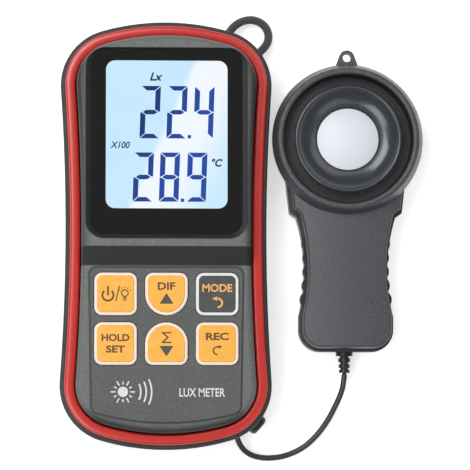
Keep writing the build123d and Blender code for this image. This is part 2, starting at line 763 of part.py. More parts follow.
with BuildPart() as cord_gland:
    with BuildSketch(outward(GLAND_POINT, GLAND_HEADING)):
        Circle(1.8)
    extrude(amount=-5.2)
    with BuildSketch(outward(GLAND_POINT, GLAND_HEADING).offset(-5.2)):
        Circle(2.4)
    extrude(amount=1.4)
cord_gland.part.label = "cord_gland"

# ---------------------------------------------------------------- cords
cord_radii = arc_radii(CORD_ROUTE)
with BuildPart() as probe_cord:
    with BuildLine() as cord_path:
        FilletPolyline(*CORD_ROUTE, radius=cord_radii)
    with BuildSketch(Plane(origin=CORD_ROUTE[0], z_dir=cord_path.line % 0)):
        Circle(CORD_DIAMETER / 2)
    sweep()
    with Locations(CORD_ROUTE[-1]):
        Sphere(CORD_DIAMETER / 2)
probe_cord.part.label = "probe_cord"

loop_radii = arc_radii(LOOP_ROUTE)
with BuildPart() as hang_loop:
    with BuildLine() as loop_path:
        FilletPolyline(*LOOP_ROUTE, radius=loop_radii)
    with BuildSketch(Plane(origin=LOOP_ROUTE[0], z_dir=loop_path.line % 0)):
        Circle(LOOP_DIAMETER / 2)
    sweep()
hang_loop.part.label = "hang_loop"

with BuildPart() as loop_anchors:
    for end, towards in ((LOOP_ROUTE[0], LOOP_ROUTE[1]), (LOOP_ROUTE[-1], LOOP_ROUTE[-2])):
        away = Vector(*end) - Vector(*towards)
        with BuildSketch(Plane(origin=end, z_dir=away)):
            Circle(2.05)
        extrude(amount=3.2)
loop_anchors.part.label = "loop_anchors"

# ---------------------------------------------------------------- sensor head: shells
relief_plane = Plane(
    origin=(RELIEF_X, RELIEF_START_Y, RELIEF_Z), x_dir=(1, 0, 0), z_dir=(0, -1, 0)
)
head_flare = math.degrees(math.atan((HEAD_RADIUS - HEAD_FOOT_RADIUS) / HEAD_WIDEST_Z))
split_radius = HEAD_FOOT_RADIUS + SPLIT_Z * math.tan(math.radians(head_flare))
grip_middle = GRIP_TOP_Y - GRIP_PITCH * (GRIP_LOBES - 1) / 2
grip_length = GRIP_PITCH * GRIP_LOBES


def edge_at(y: float) -> float:
    """Half the handle's width at y, close to the arc through its waist."""
    return HANDLE_WAIST + 2.4 * ((y + 47.0) / 19.0) ** 2


with BuildPart() as probe_back_shell:
    with BuildSketch(head_plane(0)):
        Circle(HEAD_FOOT_RADIUS)
    extrude(amount=SPLIT_Z, taper=-head_flare)
    with BuildSketch(head_plane(0)):
        add(handle_outline(0))
    extrude(amount=SPLIT_Z)
    fillet(probe_back_shell.edges().group_by(Axis.Z)[0], radius=2.4)
    with BuildSketch(head_plane(2.2)):
        Circle(HEAD_FOOT_RADIUS - SENSOR_WALL)
        add(handle_outline(SENSOR_WALL + 0.6))
    extrude(amount=20, mode=Mode.SUBTRACT)
    with BuildSketch(head_plane(2)):
        with Locations(*[(0, y) for y in PROBE_SCREWS_Y]):
            Circle(3.4)
    extrude(amount=SPLIT_Z - 2.2)
    with BuildSketch(head_plane(0)):
        with Locations(*[(0, y) for y in PROBE_SCREWS_Y]):
            Circle(2.3)
    extrude(amount=5, mode=Mode.SUBTRACT)
    with BuildSketch(head_plane(0)):
        with Locations(*[(0, y) for y in PROBE_SCREWS_Y]):
            Circle(1.2)
    extrude(amount=12, mode=Mode.SUBTRACT)
    # pockets for the side grips
    with BuildSketch(head_plane(3.4)):
        with Locations((0, grip_middle)):
            Rectangle(60, grip_length)
        add(handle_outline(GRIP_DEPTH), mode=Mode.SUBTRACT)
    extrude(amount=10, mode=Mode.SUBTRACT)
    # hole for the strain relief
    with BuildSketch(relief_plane.offset(2)):
        Circle(2.35)
    extrude(amount=-7, mode=Mode.SUBTRACT)
probe_back_shell.part.label = "probe_back_shell"

grip_parts = {}
for side, name in ((1, "probe_grip_right"), (-1, "probe_grip_left")):
    with BuildPart() as grip:
        with BuildSketch(head_plane(3.5)):
            add(handle_outline(0))
            for lobe in range(GRIP_LOBES):
                y = GRIP_TOP_Y - GRIP_PITCH * lobe
                with Locations((side * (edge_at(y) - GRIP_LOBE_RADIUS + GRIP_STANDS_OUT), y)):
                    Circle(GRIP_LOBE_RADIUS)
            add(handle_outline(GRIP_DEPTH - 0.05), mode=Mode.SUBTRACT)
            with Locations((side * 20, grip_middle)):
                Rectangle(20, grip_length - 0.1, mode=Mode.INTERSECT)
        extrude(amount=SPLIT_Z - 3.6)
    grip.part.label = name
    grip_parts[name] = grip.part

with BuildPart() as probe_front_shell:
    with BuildSketch(head_plane(SPLIT_Z + 0.05)):
        add(handle_outline(PLATE_INSET))
    extrude(amount=PLATE_Z - SPLIT_Z - 0.05)
    with BuildSketch(SECTION):
        with Locations((0, PLATE_Z - PLATE_CROWN_RADIUS)):
            Circle(PLATE_CROWN_RADIUS)
    extrude(amount=120, both=True, mode=Mode.INTERSECT)
    fillet(probe_front_shell.faces().sort_by(Axis.Z)[-1].edges(), radius=PLATE_EDGE_RADIUS)
    with BuildSketch(head_plane(SPLIT_Z)):
        add(handle_outline(PLATE_INSET + SENSOR_WALL))
    extrude(amount=PLATE_Z - SPLIT_Z - 2.2, mode=Mode.SUBTRACT)
    with BuildSketch(head_plane(0)):
        Circle(26.5)
    extrude(amount=40, mode=Mode.SUBTRACT)
    # the head's ring: outer slope, rounded lip, deep inner wall and a floor with an opening
    with BuildSketch(SECTION):
        with BuildLine():
            Polyline(
                (13.2, HEAD_FLOOR_Z - 1.8),
                (25.0, HEAD_FLOOR_Z - 1.8),
                (25.0, SPLIT_Z + 0.05),
                (split_radius, SPLIT_Z + 0.05),
                (HEAD_RADIUS, HEAD_WIDEST_Z),
                (LIP_RADIUS, 22.2),
            )
            ThreePointArc((LIP_RADIUS, 22.2), (25.6, HEAD_TOP_Z), (RECESS_OUTER, 22.9))
            Polyline(
                (RECESS_OUTER, 22.9),
                (RECESS_OUTER - 0.3, HEAD_FLOOR_Z),
                (13.2, HEAD_FLOOR_Z),
                (13.2, HEAD_FLOOR_Z - 1.8),
            )
        make_face()
    revolve(axis=HEAD_AXIS)
    # eye for a hook or a split ring
    with BuildSketch(head_plane(LUG_Z)):
        add(lug_outline())
    extrude(amount=LUG_THICK)
    with BuildSketch(head_plane(SPLIT_Z + 0.1)):
        with Locations(*[(0, y) for y in PROBE_SCREWS_Y]):
            Circle(2.9)
    extrude(amount=PLATE_Z - SPLIT_Z - 1.5)
    with BuildSketch(head_plane(SPLIT_Z)):
        with Locations(*[(0, y) for y in PROBE_SCREWS_Y]):
            Circle(0.95)
    extrude(amount=6, mode=Mode.SUBTRACT)
probe_front_shell.part.label = "probe_front_shell"

# ---------------------------------------------------------------- sensor head: optics
with BuildPart() as sensor_bowl:
    with BuildSketch(SECTION):
        with BuildLine():
            Polyline(
                (14.0, HEAD_FLOOR_Z + 0.05),
                (BOWL_RADIUS, HEAD_FLOOR_Z + 0.05),
                (BOWL_RADIUS, 22.9),
            )
            ThreePointArc((BOWL_RADIUS, 22.9), (19.6, 23.4), (BOWL_RIM, 23.0))
            ThreePointArc((BOWL_RIM, 23.0), (15.6, 20.6), (BOWL_INNER, 19.7))
            Polyline(
                (BOWL_INNER, 19.7),
                (BOWL_INNER, 18.8),
                (14.0, 18.8),
                (14.0, HEAD_FLOOR_Z + 0.05),
            )
        make_face()
    revolve(axis=HEAD_AXIS)
sensor_bowl.part.label = "sensor_bowl"

with BuildPart() as diffuser_dome:
    with BuildSketch(head_plane(DIFFUSER_BASE_Z)):
        Circle(DIFFUSER_RADIUS)
    extrude(amount=DIFFUSER_TOP_Z - DIFFUSER_BASE_Z)
    dome_radius = (DIFFUSER_RADIUS**2 + DIFFUSER_RISE**2) / (2 * DIFFUSER_RISE)
    with Locations((HEAD_X, HEAD_Y, DIFFUSER_TOP_Z - dome_radius)):
        Sphere(dome_radius, mode=Mode.INTERSECT)
diffuser_dome.part.label = "diffuser_dome"

with BuildPart() as diffuser_seal:
    with BuildSketch(head_plane(HEAD_FLOOR_Z + 0.05)):
        Circle(13.9)
        Circle(DIFFUSER_RADIUS + 0.02, mode=Mode.SUBTRACT)
    extrude(amount=1.3)
diffuser_seal.part.label = "diffuser_seal"

with BuildPart() as filter_glass:
    with BuildSketch(head_plane(14.3)):
        Circle(9.0)
    extrude(amount=1.6)
filter_glass.part.label = "filter_glass"

with BuildPart() as sensor_holder:
    with BuildSketch(head_plane(11.2)):
        Circle(13.0)
        Circle(7.6, mode=Mode.SUBTRACT)
    extrude(amount=4.7)
    with BuildSketch(head_plane(14.25)):
        Circle(9.1)
    extrude(amount=4, mode=Mode.SUBTRACT)
    with BuildSketch(head_plane(15.95)):
        Circle(DIFFUSER_RADIUS + 0.1)
    extrude(amount=4, mode=Mode.SUBTRACT)
sensor_holder.part.label = "sensor_holder"

with BuildPart() as photodiode:
    with BuildSketch(head_plane(11.2)):
        RectangleRounded(9, 9, 0.6)
    extrude(amount=2.6)
photodiode.part.label = "photodiode"

with BuildPart() as probe_board:
    with BuildSketch(head_plane(9.8)):
        Circle(17)
    extrude(amount=1.35)
probe_board.part.label = "probe_board"

with BuildPart() as probe_strain_relief:
    for start, length, radius in (
        (-5.0, 1.85, 3.1),
        (-3.2, 3.4, 2.3),
        (0.15, 1.5, 3.2),
        (1.65, 0.8, 1.7),
        (2.45, 1.5, 2.3),
        (3.95, 0.8, 1.55),
        (4.75, 1.4, 2.15),
        (6.15, 0.6, 1.45),
        (6.75, 1.25, 2.05),
    ):
        with BuildSketch(relief_plane.offset(start)):
            Circle(radius)
        extrude(amount=length)
    with Locations((RELIEF_X, FLEX_Y, RELIEF_Z)):
        Sphere(CORD_DIAMETER / 2 + 0.3, mode=Mode.SUBTRACT)
probe_strain_relief.part.label = "probe_strain_relief"

with BuildPart() as probe_screws:
    with BuildSketch(head_plane(3.1)):
        with Locations(*[(0, y) for y in PROBE_SCREWS_Y]):
            Circle(2.05)
    extrude(amount=1.85)
    with BuildSketch(head_plane(3.1)):
        with Locations(*[(0, y) for y in PROBE_SCREWS_Y]):
            Rectangle(2.6, 0.6)
            Rectangle(0.6, 2.6)
    extrude(amount=0.9, mode=Mode.SUBTRACT)
    with BuildSketch(head_plane(4.9)):
        with Locations(*[(0, y) for y in PROBE_SCREWS_Y]):
            Circle(0.88)
    extrude(amount=8.5)
probe_screws.part.label = "probe_screws"

# ---------------------------------------------------------------- one file for each piece
pieces = {
    p.part.label: p.part
    for p in (
        back_cover, front_cover, bumper_band,
        display_lens, lens_border, lcd_glass, lcd_backlight, lcd_frame, lcd_contact_strip,
        keypad_panel, main_board, board_chips, buzzer, key_board, key_board_posts, dome_switches,
        battery_springs, battery_plates, battery_door, case_screws, board_screws, back_label,
        port_socket, port_plug, cord_gland, probe_cord, hang_loop, loop_anchors,
        probe_back_shell, probe_front_shell, sensor_bowl, diffuser_dome, diffuser_seal,
        filter_glass, sensor_holder, photodiode, probe_board, probe_strain_relief, probe_screws,
    )
}
pieces |= key_parts | cell_parts | grip_parts

os.makedirs("parts", exist_ok=True)
for label, piece in pieces.items():
    export_step(piece, f"parts/{label}.step")

for name, path, radii, thick, piece in (
    ("cord", cord_path, cord_radii, CORD_DIAMETER, probe_cord),
    ("loop", loop_path, loop_radii, LOOP_DIAMETER, hang_loop),
):
    ideal = math.pi * (thick / 2) ** 2 * path.wire().length
    print(name, "radii in diameters", [round(r / thick, 1) for r in radii])
    print(name, "length", round(path.wire().length, 2), "volume", piece.part.volume, "ideal", ideal)
print(len(pieces), "pieces")
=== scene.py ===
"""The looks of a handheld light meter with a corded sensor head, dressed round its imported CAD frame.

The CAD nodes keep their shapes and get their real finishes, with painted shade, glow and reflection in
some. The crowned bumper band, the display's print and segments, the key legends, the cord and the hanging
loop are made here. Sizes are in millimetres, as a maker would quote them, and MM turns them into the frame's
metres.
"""

import logging
import math
from dataclasses import dataclass, field
from enum import Enum

import bmesh
import bpy
from mathutils import Matrix, Vector
from mathutils.geometry import convex_hull_2d


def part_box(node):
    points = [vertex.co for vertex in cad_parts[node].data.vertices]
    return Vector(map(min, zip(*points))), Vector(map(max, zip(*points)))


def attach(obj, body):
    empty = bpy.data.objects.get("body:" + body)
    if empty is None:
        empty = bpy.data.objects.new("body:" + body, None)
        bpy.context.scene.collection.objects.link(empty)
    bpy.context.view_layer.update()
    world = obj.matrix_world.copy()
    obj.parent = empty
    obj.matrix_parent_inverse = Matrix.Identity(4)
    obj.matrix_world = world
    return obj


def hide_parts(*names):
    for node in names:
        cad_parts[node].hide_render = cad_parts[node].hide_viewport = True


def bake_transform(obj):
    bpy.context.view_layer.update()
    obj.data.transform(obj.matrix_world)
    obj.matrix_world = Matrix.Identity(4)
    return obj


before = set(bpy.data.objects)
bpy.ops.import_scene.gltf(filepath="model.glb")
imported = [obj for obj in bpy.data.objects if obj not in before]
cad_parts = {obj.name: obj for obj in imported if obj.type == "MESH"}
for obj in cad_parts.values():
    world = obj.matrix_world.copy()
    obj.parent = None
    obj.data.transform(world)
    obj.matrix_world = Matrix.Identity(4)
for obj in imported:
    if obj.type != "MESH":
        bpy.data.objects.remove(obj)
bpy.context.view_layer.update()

MM = 0.001
LETTER_STEPS = 3  # runs in each curve of a letter
LINE_STEPS = 10  # runs between two points of a cord's route
WELD = 1e-5  # letter points closer than this, in the font's own units, are one
CHAMFER_RUN = 0.25  # a cord's start is chamfered by this share of its radius
CHAMFER_SHARE = 0.55  # and its first face has this share of it
DOME_TURNS_DEG = (25, 50, 72)  # where the rings of its domed far end lie
LOG = logging.getLogger("light_meter")
Flat = tuple[float, float]
Place = tuple[float, float, float]
Socket = bpy.types.NodeSocket


# ---------------------------------------------------------------- nodes and colours
def linear(code: str) -> tuple[float, float, float, float]:
    """Turns an sRGB colour into the linear values that shaders work with.

    Args:
        code: the colour as "#rrggbb".

    Returns:
        Red, green, blue and an alpha of one.
    """
    shares = [int(code[i : i + 2], 16) / 255 for i in (1, 3, 5)]
    curved = [s / 12.92 if s <= 0.04045 else ((s + 0.055) / 1.055) ** 2.4 for s in shares]
    return (*curved, 1.0)


def fill(tree: bpy.types.NodeTree, node: bpy.types.Node, inputs: dict) -> None:
    """Fills a node's sockets, by name or place: an output is linked, anything else is set as a value."""
    for name, source in inputs.items():
        if isinstance(source, bpy.types.NodeSocket):
            tree.links.new(source, node.inputs[name])
        else:
            node.inputs[name].default_value = source


def add_node(
    tree: bpy.types.NodeTree, kind: str, inputs: dict | None = None, **settings: object
) -> bpy.types.Node:
    """Adds one shader node.

    Args:
        tree: the material's node tree.
        kind: the node's type name.
        inputs: what its sockets get: outputs of other nodes, numbers or colours.
        settings: the node's own properties.

    Returns:
        The new node.
    """
    node = tree.nodes.new(kind)
    for name, value in settings.items():
        setattr(node, name, value)
    fill(tree, node, inputs or {})
    return node


@dataclass
class Weave:
    """The nodes of one material while its pattern is made, and the surface shader that they feed."""

    tree: bpy.types.NodeTree
    shader: bpy.types.Node

    def feed(self, inputs: dict) -> None:
        """Fills sockets of the surface shader."""
        fill(self.tree, self.shader, inputs)

    def place(self) -> Socket:
        """The point on the piece, in the frame's metres."""
        return add_node(self.tree, "ShaderNodeTexCoord").outputs["Object"]

    def along(self, axis: str) -> Socket:
        """One coordinate of the point on the piece, in metres."""
        return add_node(self.tree, "ShaderNodeSeparateXYZ", {"Vector": self.place()}).outputs[axis]

    def work(self, operation: str, first: Socket | float, second: Socket | float = 0.0) -> Socket:
        """One number worked out from two, or from the first alone."""
        return add_node(self.tree, "ShaderNodeMath", {0: first, 1: second}, operation=operation).outputs[0]

    def turn(self, operation: str, first: Socket, second: Place = (0.0, 0.0, 0.0)) -> bpy.types.Node:
        """A node that works on a vector with a fixed one, or on the first alone."""
        return add_node(self.tree, "ShaderNodeVectorMath", {0: first, 1: second}, operation=operation)

    def from_axis(self, centre: Flat) -> Socket:
        """How far the point on the piece is from an upright axis, in metres.

        Args:
            centre: where the axis stands, in millimetres.

        Returns:
            The distance's socket.
        """
        offset = self.turn("SUBTRACT", self.place(), (centre[0] * MM, centre[1] * MM, 0.0))
        level = self.turn("MULTIPLY", offset.outputs[0], (1.0, 1.0, 0.0))
        return self.turn("LENGTH", level.outputs[0]).outputs["Value"]

    def past_line(self, low: Flat, high: Flat) -> Socket:
        """How far to the right of a slanted line the point on the piece lies, in metres.

        Args:
            low: the line's lower end, in millimetres.
            high: its upper end.

        Returns:
            The distance's socket.
        """
        across = Vector((high[1] - low[1], low[0] - high[0], 0.0)).normalized()
        offset = self.turn("SUBTRACT", self.place(), (low[0] * MM, low[1] * MM, 0.0))
        return self.turn("DOT_PRODUCT", offset.outputs[0], tuple(across)).outputs["Value"]

    def between(self, value: Socket, low_mm: float, high_mm: float) -> Socket:
        """A share that goes from 0 to 1 as a length goes from low to high.

        Args:
            value: the length's socket, in metres.
            low_mm: where the share is 0.
            high_mm: where it is 1.

        Returns:
            The share's socket.
        """
        limits = {"From Min": low_mm * MM, "From Max": high_mm * MM, "Value": value}
        return add_node(self.tree, "ShaderNodeMapRange", limits).outputs["Result"]

    def noise(self, size_mm: float, low: float = 0.35, high: float = 0.65) -> Socket:
        """Even noise from 0 to 1.

        Args:
            size_mm: the size of its grains.
            low: the raw noise value that becomes 0.
            high: the raw noise value that becomes 1.

        Returns:
            The socket that carries it.
        """
        grains = {"Scale": 1 / (size_mm * MM), "Detail": 2.0, "Roughness": 0.65, "Vector": self.place()}
        raw = add_node(self.tree, "ShaderNodeTexNoise", grains).outputs["Fac"]
        limits = {"From Min": low, "From Max": high, "Value": raw}
        return add_node(self.tree, "ShaderNodeMapRange", limits).outputs["Result"]

    def mix(self, share: Socket, first: Socket | str, second: Socket | str) -> Socket:
        """A mix of two colours by a share.

        Args:
            share: 0 for the first colour, 1 for the second.
            first: the first colour's hex code, or a socket that carries it.
            second: the second colour, in the same way.

        Returns:
            The colour's socket.
        """
        ends = [linear(colour) if isinstance(colour, str) else colour for colour in (first, second)]
        inputs = {"Fac": share, "Color1": ends[0], "Color2": ends[1]}
        return add_node(self.tree, "ShaderNodeMixRGB", inputs).outputs["Color"]

    def raise_grain(self, height: Socket, depth_mm: float, strength: float = 1.0) -> None:
        """Feeds a height to the shader's normal.

        Args:
            height: the height's socket, from 0 to 1.
            depth_mm: how far a height of 1 stands out.
            strength: the share of that to show.
        """
        inputs = {"Strength": strength, "Distance": depth_mm * MM, "Height": height}
        self.feed({"Normal": add_node(self.tree, "ShaderNodeBump", inputs).outputs["Normal"]})

    def vary_sheen(self, middle: float, share: Socket, change: float) -> None:
        """Lets the roughness go from below to above a middle value with a share from 0 to 1."""
        limits = {"To Min": middle - change, "To Max": middle + change, "Value": share}
        self.feed({"Roughness": add_node(self.tree, "ShaderNodeMapRange", limits).outputs["Result"]})


# ---------------------------------------------------------------- finishes
@dataclass(frozen=True)
class Finish:
    """What every finish has: a name, a colour and the shader's starting numbers."""

    name: str
    colour: str
    roughness: float = 0.5
    ior: float = 1.5
    metallic: float = 0.0

    def material(self) -> bpy.types.Material:
        """Makes the finish's material the first time, and finds it again after that.

        Returns:
            The Blender material.
        """
        known = bpy.data.materials.get(self.name)
        if known:
            return known
        made = bpy.data.materials.new(self.name)
        made.use_nodes = True
        weave = Weave(made.node_tree, made.node_tree.nodes["Principled BSDF"])
        weave.feed({
            "Base Color": linear(self.colour), "Roughness": self.roughness,
            "Metallic": self.metallic, "IOR": self.ior,
        })
        self.pattern(weave)
        return made

    def pattern(self, weave: Weave) -> None:
        """Adds the nodes that vary the surface. Each kind of finish has its own."""
        raise NotImplementedError


@dataclass(frozen=True)
class Skin(Finish):
    """A surface whose colour, sheen and height vary, each with a noise of its own size."""

    second: str = "#808080"  # the colour of its flecks, dust, clouds or dull patches
    tint_mm: float = 1.0
    tint_low: float = 0.35  # the raw noise values between which the second colour comes in
    tint_high: float = 0.65
    patch_mm: float = 5.0
    sheen_change: float = 0.05
    grain_mm: float = 1.0
    depth_mm: float = 0.01

    def pattern(self, weave: Weave) -> None:
        """Varies the colour, the sheen and the height."""
        self.cover(weave, self.tint(weave), weave.noise(self.grain_mm))

    def tint(self, weave: Weave) -> Socket:
        """The finish's two colours, mixed by a noise."""
        share = weave.noise(self.tint_mm, self.tint_low, self.tint_high)
        return weave.mix(share, self.colour, self.second)

    def cover(self, weave: Weave, tint: Socket, height: Socket) -> None:
        """Feeds the shader with a colour, a sheen in patches and a height."""
        weave.feed({"Base Color": tint})
        weave.vary_sheen(self.roughness, weave.noise(self.patch_mm), self.sheen_change)
        weave.raise_grain(height, self.depth_mm)


@dataclass(frozen=True)
class MouldedPlastic(Skin):
    """A moulded surface with a fine crystalline grain that breaks the light into flecks.

    ABS from a spark-eroded tool shows it most. Epoxy, nylon, a label's film and glass show a trace.
    """

    tint_mm: float = 0.55  # the real grain is about 0.1 mm, drawn coarser so that it shows
    grain_mm: float = 0.55
    depth_mm: float = 0.05
    patch_mm: float = 9.0
    sheen_change: float = 0.06


@dataclass(frozen=True)
class FaceMoulding(MouldedPlastic):
    """The front cover's ABS: spark-eroded on its levels, polished and in painted shade on its slopes.

    The slopes are the step between keypad and display, and the bevel that runs round the lens. Beside the
    display and at the lower end, where the cover falls away to the band, the grain is darker too, in painted
    shade.
    """

    # painted shade: the slopes' dark colour stands in for the shade on them; their smooth, ungrained skin is
    # their own
    polished: str = "#17181a"
    # painted shade beside the display and at the lower end, where the cover falls away to the band
    edge: str = "#242625"
    side_from_mm: float = 27.5
    side_to_mm: float = 32.5
    end_centre_mm: Flat = (0.0, 6.3)  # the centre of the arc that the meter's lower end follows
    end_from_mm: float = 76.4
    end_to_mm: float = 79.6
    step_low_mm: float = -11.9
    step_high_mm: float = -4.8
    bevel_centre_mm: float = 33.6
    bevel_half_width_mm: float = 30.15
    bevel_half_height_mm: float = 35.65
    bevel_corner_mm: float = 7.0
    edge_mm: float = 0.25  # how sharply the grain stops

    def pattern(self, weave: Weave) -> None:
        """Grains the levels, paints shade on the grain at the sides and the end, and keeps the slopes
        smooth, in painted shade.
        """
        across, along = weave.along("X"), weave.along("Y")
        low = self.ramp(weave, along, self.step_low_mm)
        high = self.ramp(weave, along, self.step_high_mm)
        step = weave.work("SUBTRACT", low, high)
        slopes = weave.work("MAXIMUM", step, self.inside_bevel(weave, across, along))
        side = weave.between(weave.work("ABSOLUTE", across), self.side_from_mm, self.side_to_mm)
        beside = weave.work("MULTIPLY", side, high)
        end = weave.between(weave.from_axis(self.end_centre_mm), self.end_from_mm, self.end_to_mm)
        # painted shade on the grain beside the display and at the lower end
        shaded = weave.mix(weave.work("MAXIMUM", beside, end), self.tint(weave), self.edge)
        height = weave.work("MULTIPLY", weave.noise(self.grain_mm), weave.work("SUBTRACT", 1.0, slopes))
        # the slopes get their painted shade here
        self.cover(weave, weave.mix(slopes, shaded, self.polished), height)

    def ramp(self, weave: Weave, value: Socket, middle_mm: float) -> Socket:
        """A share that goes sharply from 0 to 1 as a length passes a middle value."""
        return weave.between(value, middle_mm - self.edge_mm, middle_mm + self.edge_mm)

    def inside_bevel(self, weave: Weave, across: Socket, along: Socket) -> Socket:
        """1 inside the rounded rectangle where the bevel round the lens starts, and 0 outside it.

        Args:
            weave: the material's nodes.
            across: the point's X, in metres.
            along: its Y.

        Returns:
            The share's socket.
        """
        beyond = {}
        for axis, value, centre, half in (
            ("X", across, 0.0, self.bevel_half_width_mm),
            ("Y", along, self.bevel_centre_mm, self.bevel_half_height_mm),
        ):
            size = weave.work("ABSOLUTE", weave.work("SUBTRACT", value, centre * MM))
            past = weave.work("SUBTRACT", size, (half - self.bevel_corner_mm) * MM)
            beyond[axis] = weave.work("MAXIMUM", past, 0.0)
        joined = add_node(weave.tree, "ShaderNodeCombineXYZ", beyond).outputs[0]
        distance = weave.turn("LENGTH", joined).outputs["Value"]
        return weave.work("SUBTRACT", 1.0, self.ramp(weave, distance, self.bevel_corner_mm))


@dataclass(frozen=True)
class HeadMoulding(MouldedPlastic):
    """The sensor head's ABS: spark-eroded outside, with painted shade inside the groove round the bowl."""

    patch_mm: float = 7.0
    sheen_change: float = 0.05
    # painted shade for the deep groove round the bowl
    groove: str = "#1b1a1f"
    centre_mm: Flat = (68.2, 36.4)
    groove_from_mm: float = 24.8
    groove_to_mm: float = 24.0

    def pattern(self, weave: Weave) -> None:
        """Speckles the outside and paints shade on everything within the groove's outer edge."""
        inside = weave.between(weave.from_axis(self.centre_mm), self.groove_from_mm, self.groove_to_mm)
        self.cover(weave, weave.mix(inside, self.tint(weave), self.groove), weave.noise(self.grain_mm))


@dataclass(frozen=True)
class HonedSkin(Skin):
    """Rubber, vinyl or satin ABS from a honed tool: an even skin with a soft sheen and a little dust."""

    tint_mm: float = 0.8
    tint_low: float = 0.5
    tint_high: float = 0.8
    grain_mm: float = 0.35  # honing marks are finer, drawn coarser so that they show
    depth_mm: float = 0.012
    gloss: float = 0.0  # weight of a wet-looking top skin
    gloss_roughness: float = 0.16

    def pattern(self, weave: Weave) -> None:
        """Adds the top skin to what every skin has."""
        super().pattern(weave)
        weave.feed({"Coat Weight": self.gloss, "Coat Roughness": self.gloss_roughness})


@dataclass(frozen=True)
class SatinSkin(Skin):
    """Satin lacquer, silicone or acrylic: even colour with a slightly cloudy, orange-peel skin."""

    tint_mm: float = 2.6
    patch_mm: float = 3.0
    grain_mm: float = 1.1


@dataclass(frozen=True)
class PlatedMetal(Skin):
    """Steel or brass with a thin zinc or nickel plate: bright, with drawn marks and dull patches."""

    second: str = "#8a8a88"
    tint_mm: float = 1.6
    patch_mm: float = 1.6
    sheen_change: float = 0.08
    grain_mm: float = 0.25
    depth_mm: float = 0.006


@dataclass(frozen=True)
class ScreenInk(Skin):
    """Screen-printed ink: flat and slightly uneven where the mesh has left more or less of it."""

    tint_mm: float = 0.3  # the screen's mesh is about 0.08 mm, drawn coarser so that it shows
    patch_mm: float = 0.3
    shine: float = 0.5  # specular level, which is zero where the ink is bonded to a clear sheet

    def pattern(self, weave: Weave) -> None:
        """Lets the ink's colour and sheen vary with the screen's mesh."""
        weave.feed({"Base Color": self.tint(weave), "Specular IOR Level": self.shine})
        weave.vary_sheen(self.roughness, weave.noise(self.patch_mm), self.sheen_change)


@dataclass(frozen=True)
class ClearAcrylic(Finish):
    """Polished acrylic sheet: clear, with sharp reflections and the faintest waviness."""

    wave_mm: float = 22.0
    wave_depth_mm: float = 0.01
    wave_share: float = 0.4

    def pattern(self, weave: Weave) -> None:
        """Makes the sheet clear and its surface very slightly wavy."""
        weave.feed({"Transmission Weight": 1.0})
        weave.raise_grain(weave.noise(self.wave_mm), self.wave_depth_mm, self.wave_share)


@dataclass(frozen=True)
class LitGlass(Finish):
    """What the display's two finishes share: a glow as from behind, which stands in for the light on them,
    and a wedge of painted reflection.
    """

    wedge_low: Flat = (-14.0, 9.3)  # where the wedge's slanted edge meets the window's lower side
    wedge_high: Flat = (10.9, 64.5)
    # painted light: how strongly the display glows in place of the light that would reach it through the
    # lens
    glow: float = 1.0

    def past_wedge(self, weave: Weave) -> Socket:
        """How far to the right of the wedge's slanted edge the point lies, in metres."""
        return weave.past_line(self.wedge_low, self.wedge_high)

    def light(self, weave: Weave, tint: Socket) -> None:
        """Makes the surface glow in a colour as painted light, without a shine of its own under the lens."""
        weave.feed({"Emission Color": tint, "Emission Strength": self.glow, "Specular IOR Level": 0.0})


@dataclass(frozen=True)
class BacklitFilmWithGlare(LitGlass):
    """A display's polariser over its backlight: pale blue, glowing as painted light, with a paler wedge that
    is a painted reflection.
    """

    glow: float = 1.07
    near: str = "#c8e8fd"
    near_cloud: str = "#c4e6fc"
    cloud_mm: float = 14.0
    # painted reflection: the paler wedge stands in for a glare on the lens
    wedge: str = "#f0f6ff"
    far: str = "#c9e9fc"
    edge_mm: float = 1.2
    fade_from_mm: float = 12.0
    fade_to_mm: float = 27.0

    def pattern(self, weave: Weave) -> None:
        """Glows in two tones, split along the slanted edge of the wedge; the paler tone is a painted
        reflection.
        """
        past = self.past_wedge(weave)
        fade = weave.between(past, self.fade_from_mm, self.fade_to_mm)
        left = weave.mix(weave.noise(self.cloud_mm), self.near, self.near_cloud)
        right = weave.mix(fade, self.wedge, self.far)
        self.light(weave, weave.mix(weave.between(past, -self.edge_mm, self.edge_mm), left, right))


@dataclass(frozen=True)
class SegmentDyeWithGlare(LitGlass):
    """Dyed liquid crystal between its electrodes: navy at the left, royal blue under a painted reflection,
    all glowing as painted light.
    """

    glow: float = 0.9
    dark: str = "#0c2b69"
    # painted reflection: the blue that the segments take under the glare on the lens
    bright: str = "#1c4cac"
    change_from_mm: float = -12.0
    change_to_mm: float = 9.0

    def pattern(self, weave: Weave) -> None:
        """Goes from navy to royal blue across the wedge's slanted edge, a painted reflection, and glows as
        painted light.
        """
        share = weave.between(self.past_wedge(weave), self.change_from_mm, self.change_to_mm)
        self.light(weave, weave.mix(share, self.dark, self.bright))


@dataclass(frozen=True)
class OpalAcrylic(Finish):
    """Opal acrylic moulded with a matt face: milky, with light carried a little way under its skin."""

    cloud: str = "#e3e6ee"
    cloud_mm: float = 6.0
    scatter: float = 0.35
    scatter_mm: float = 1.5
    grain_mm: float = 0.5
    grain_depth_mm: float = 0.008

    def pattern(self, weave: Weave) -> None:
        """Scatters light under the skin and leaves a very fine matt grain."""
        weave.feed({
            "Subsurface Weight": self.scatter, "Subsurface Radius": (1.0, 0.95, 0.9),
            "Subsurface Scale": self.scatter_mm * MM,
            "Base Color": weave.mix(weave.noise(self.cloud_mm), self.colour, self.cloud),
        })
        weave.raise_grain(weave.noise(self.grain_mm), self.grain_depth_mm)


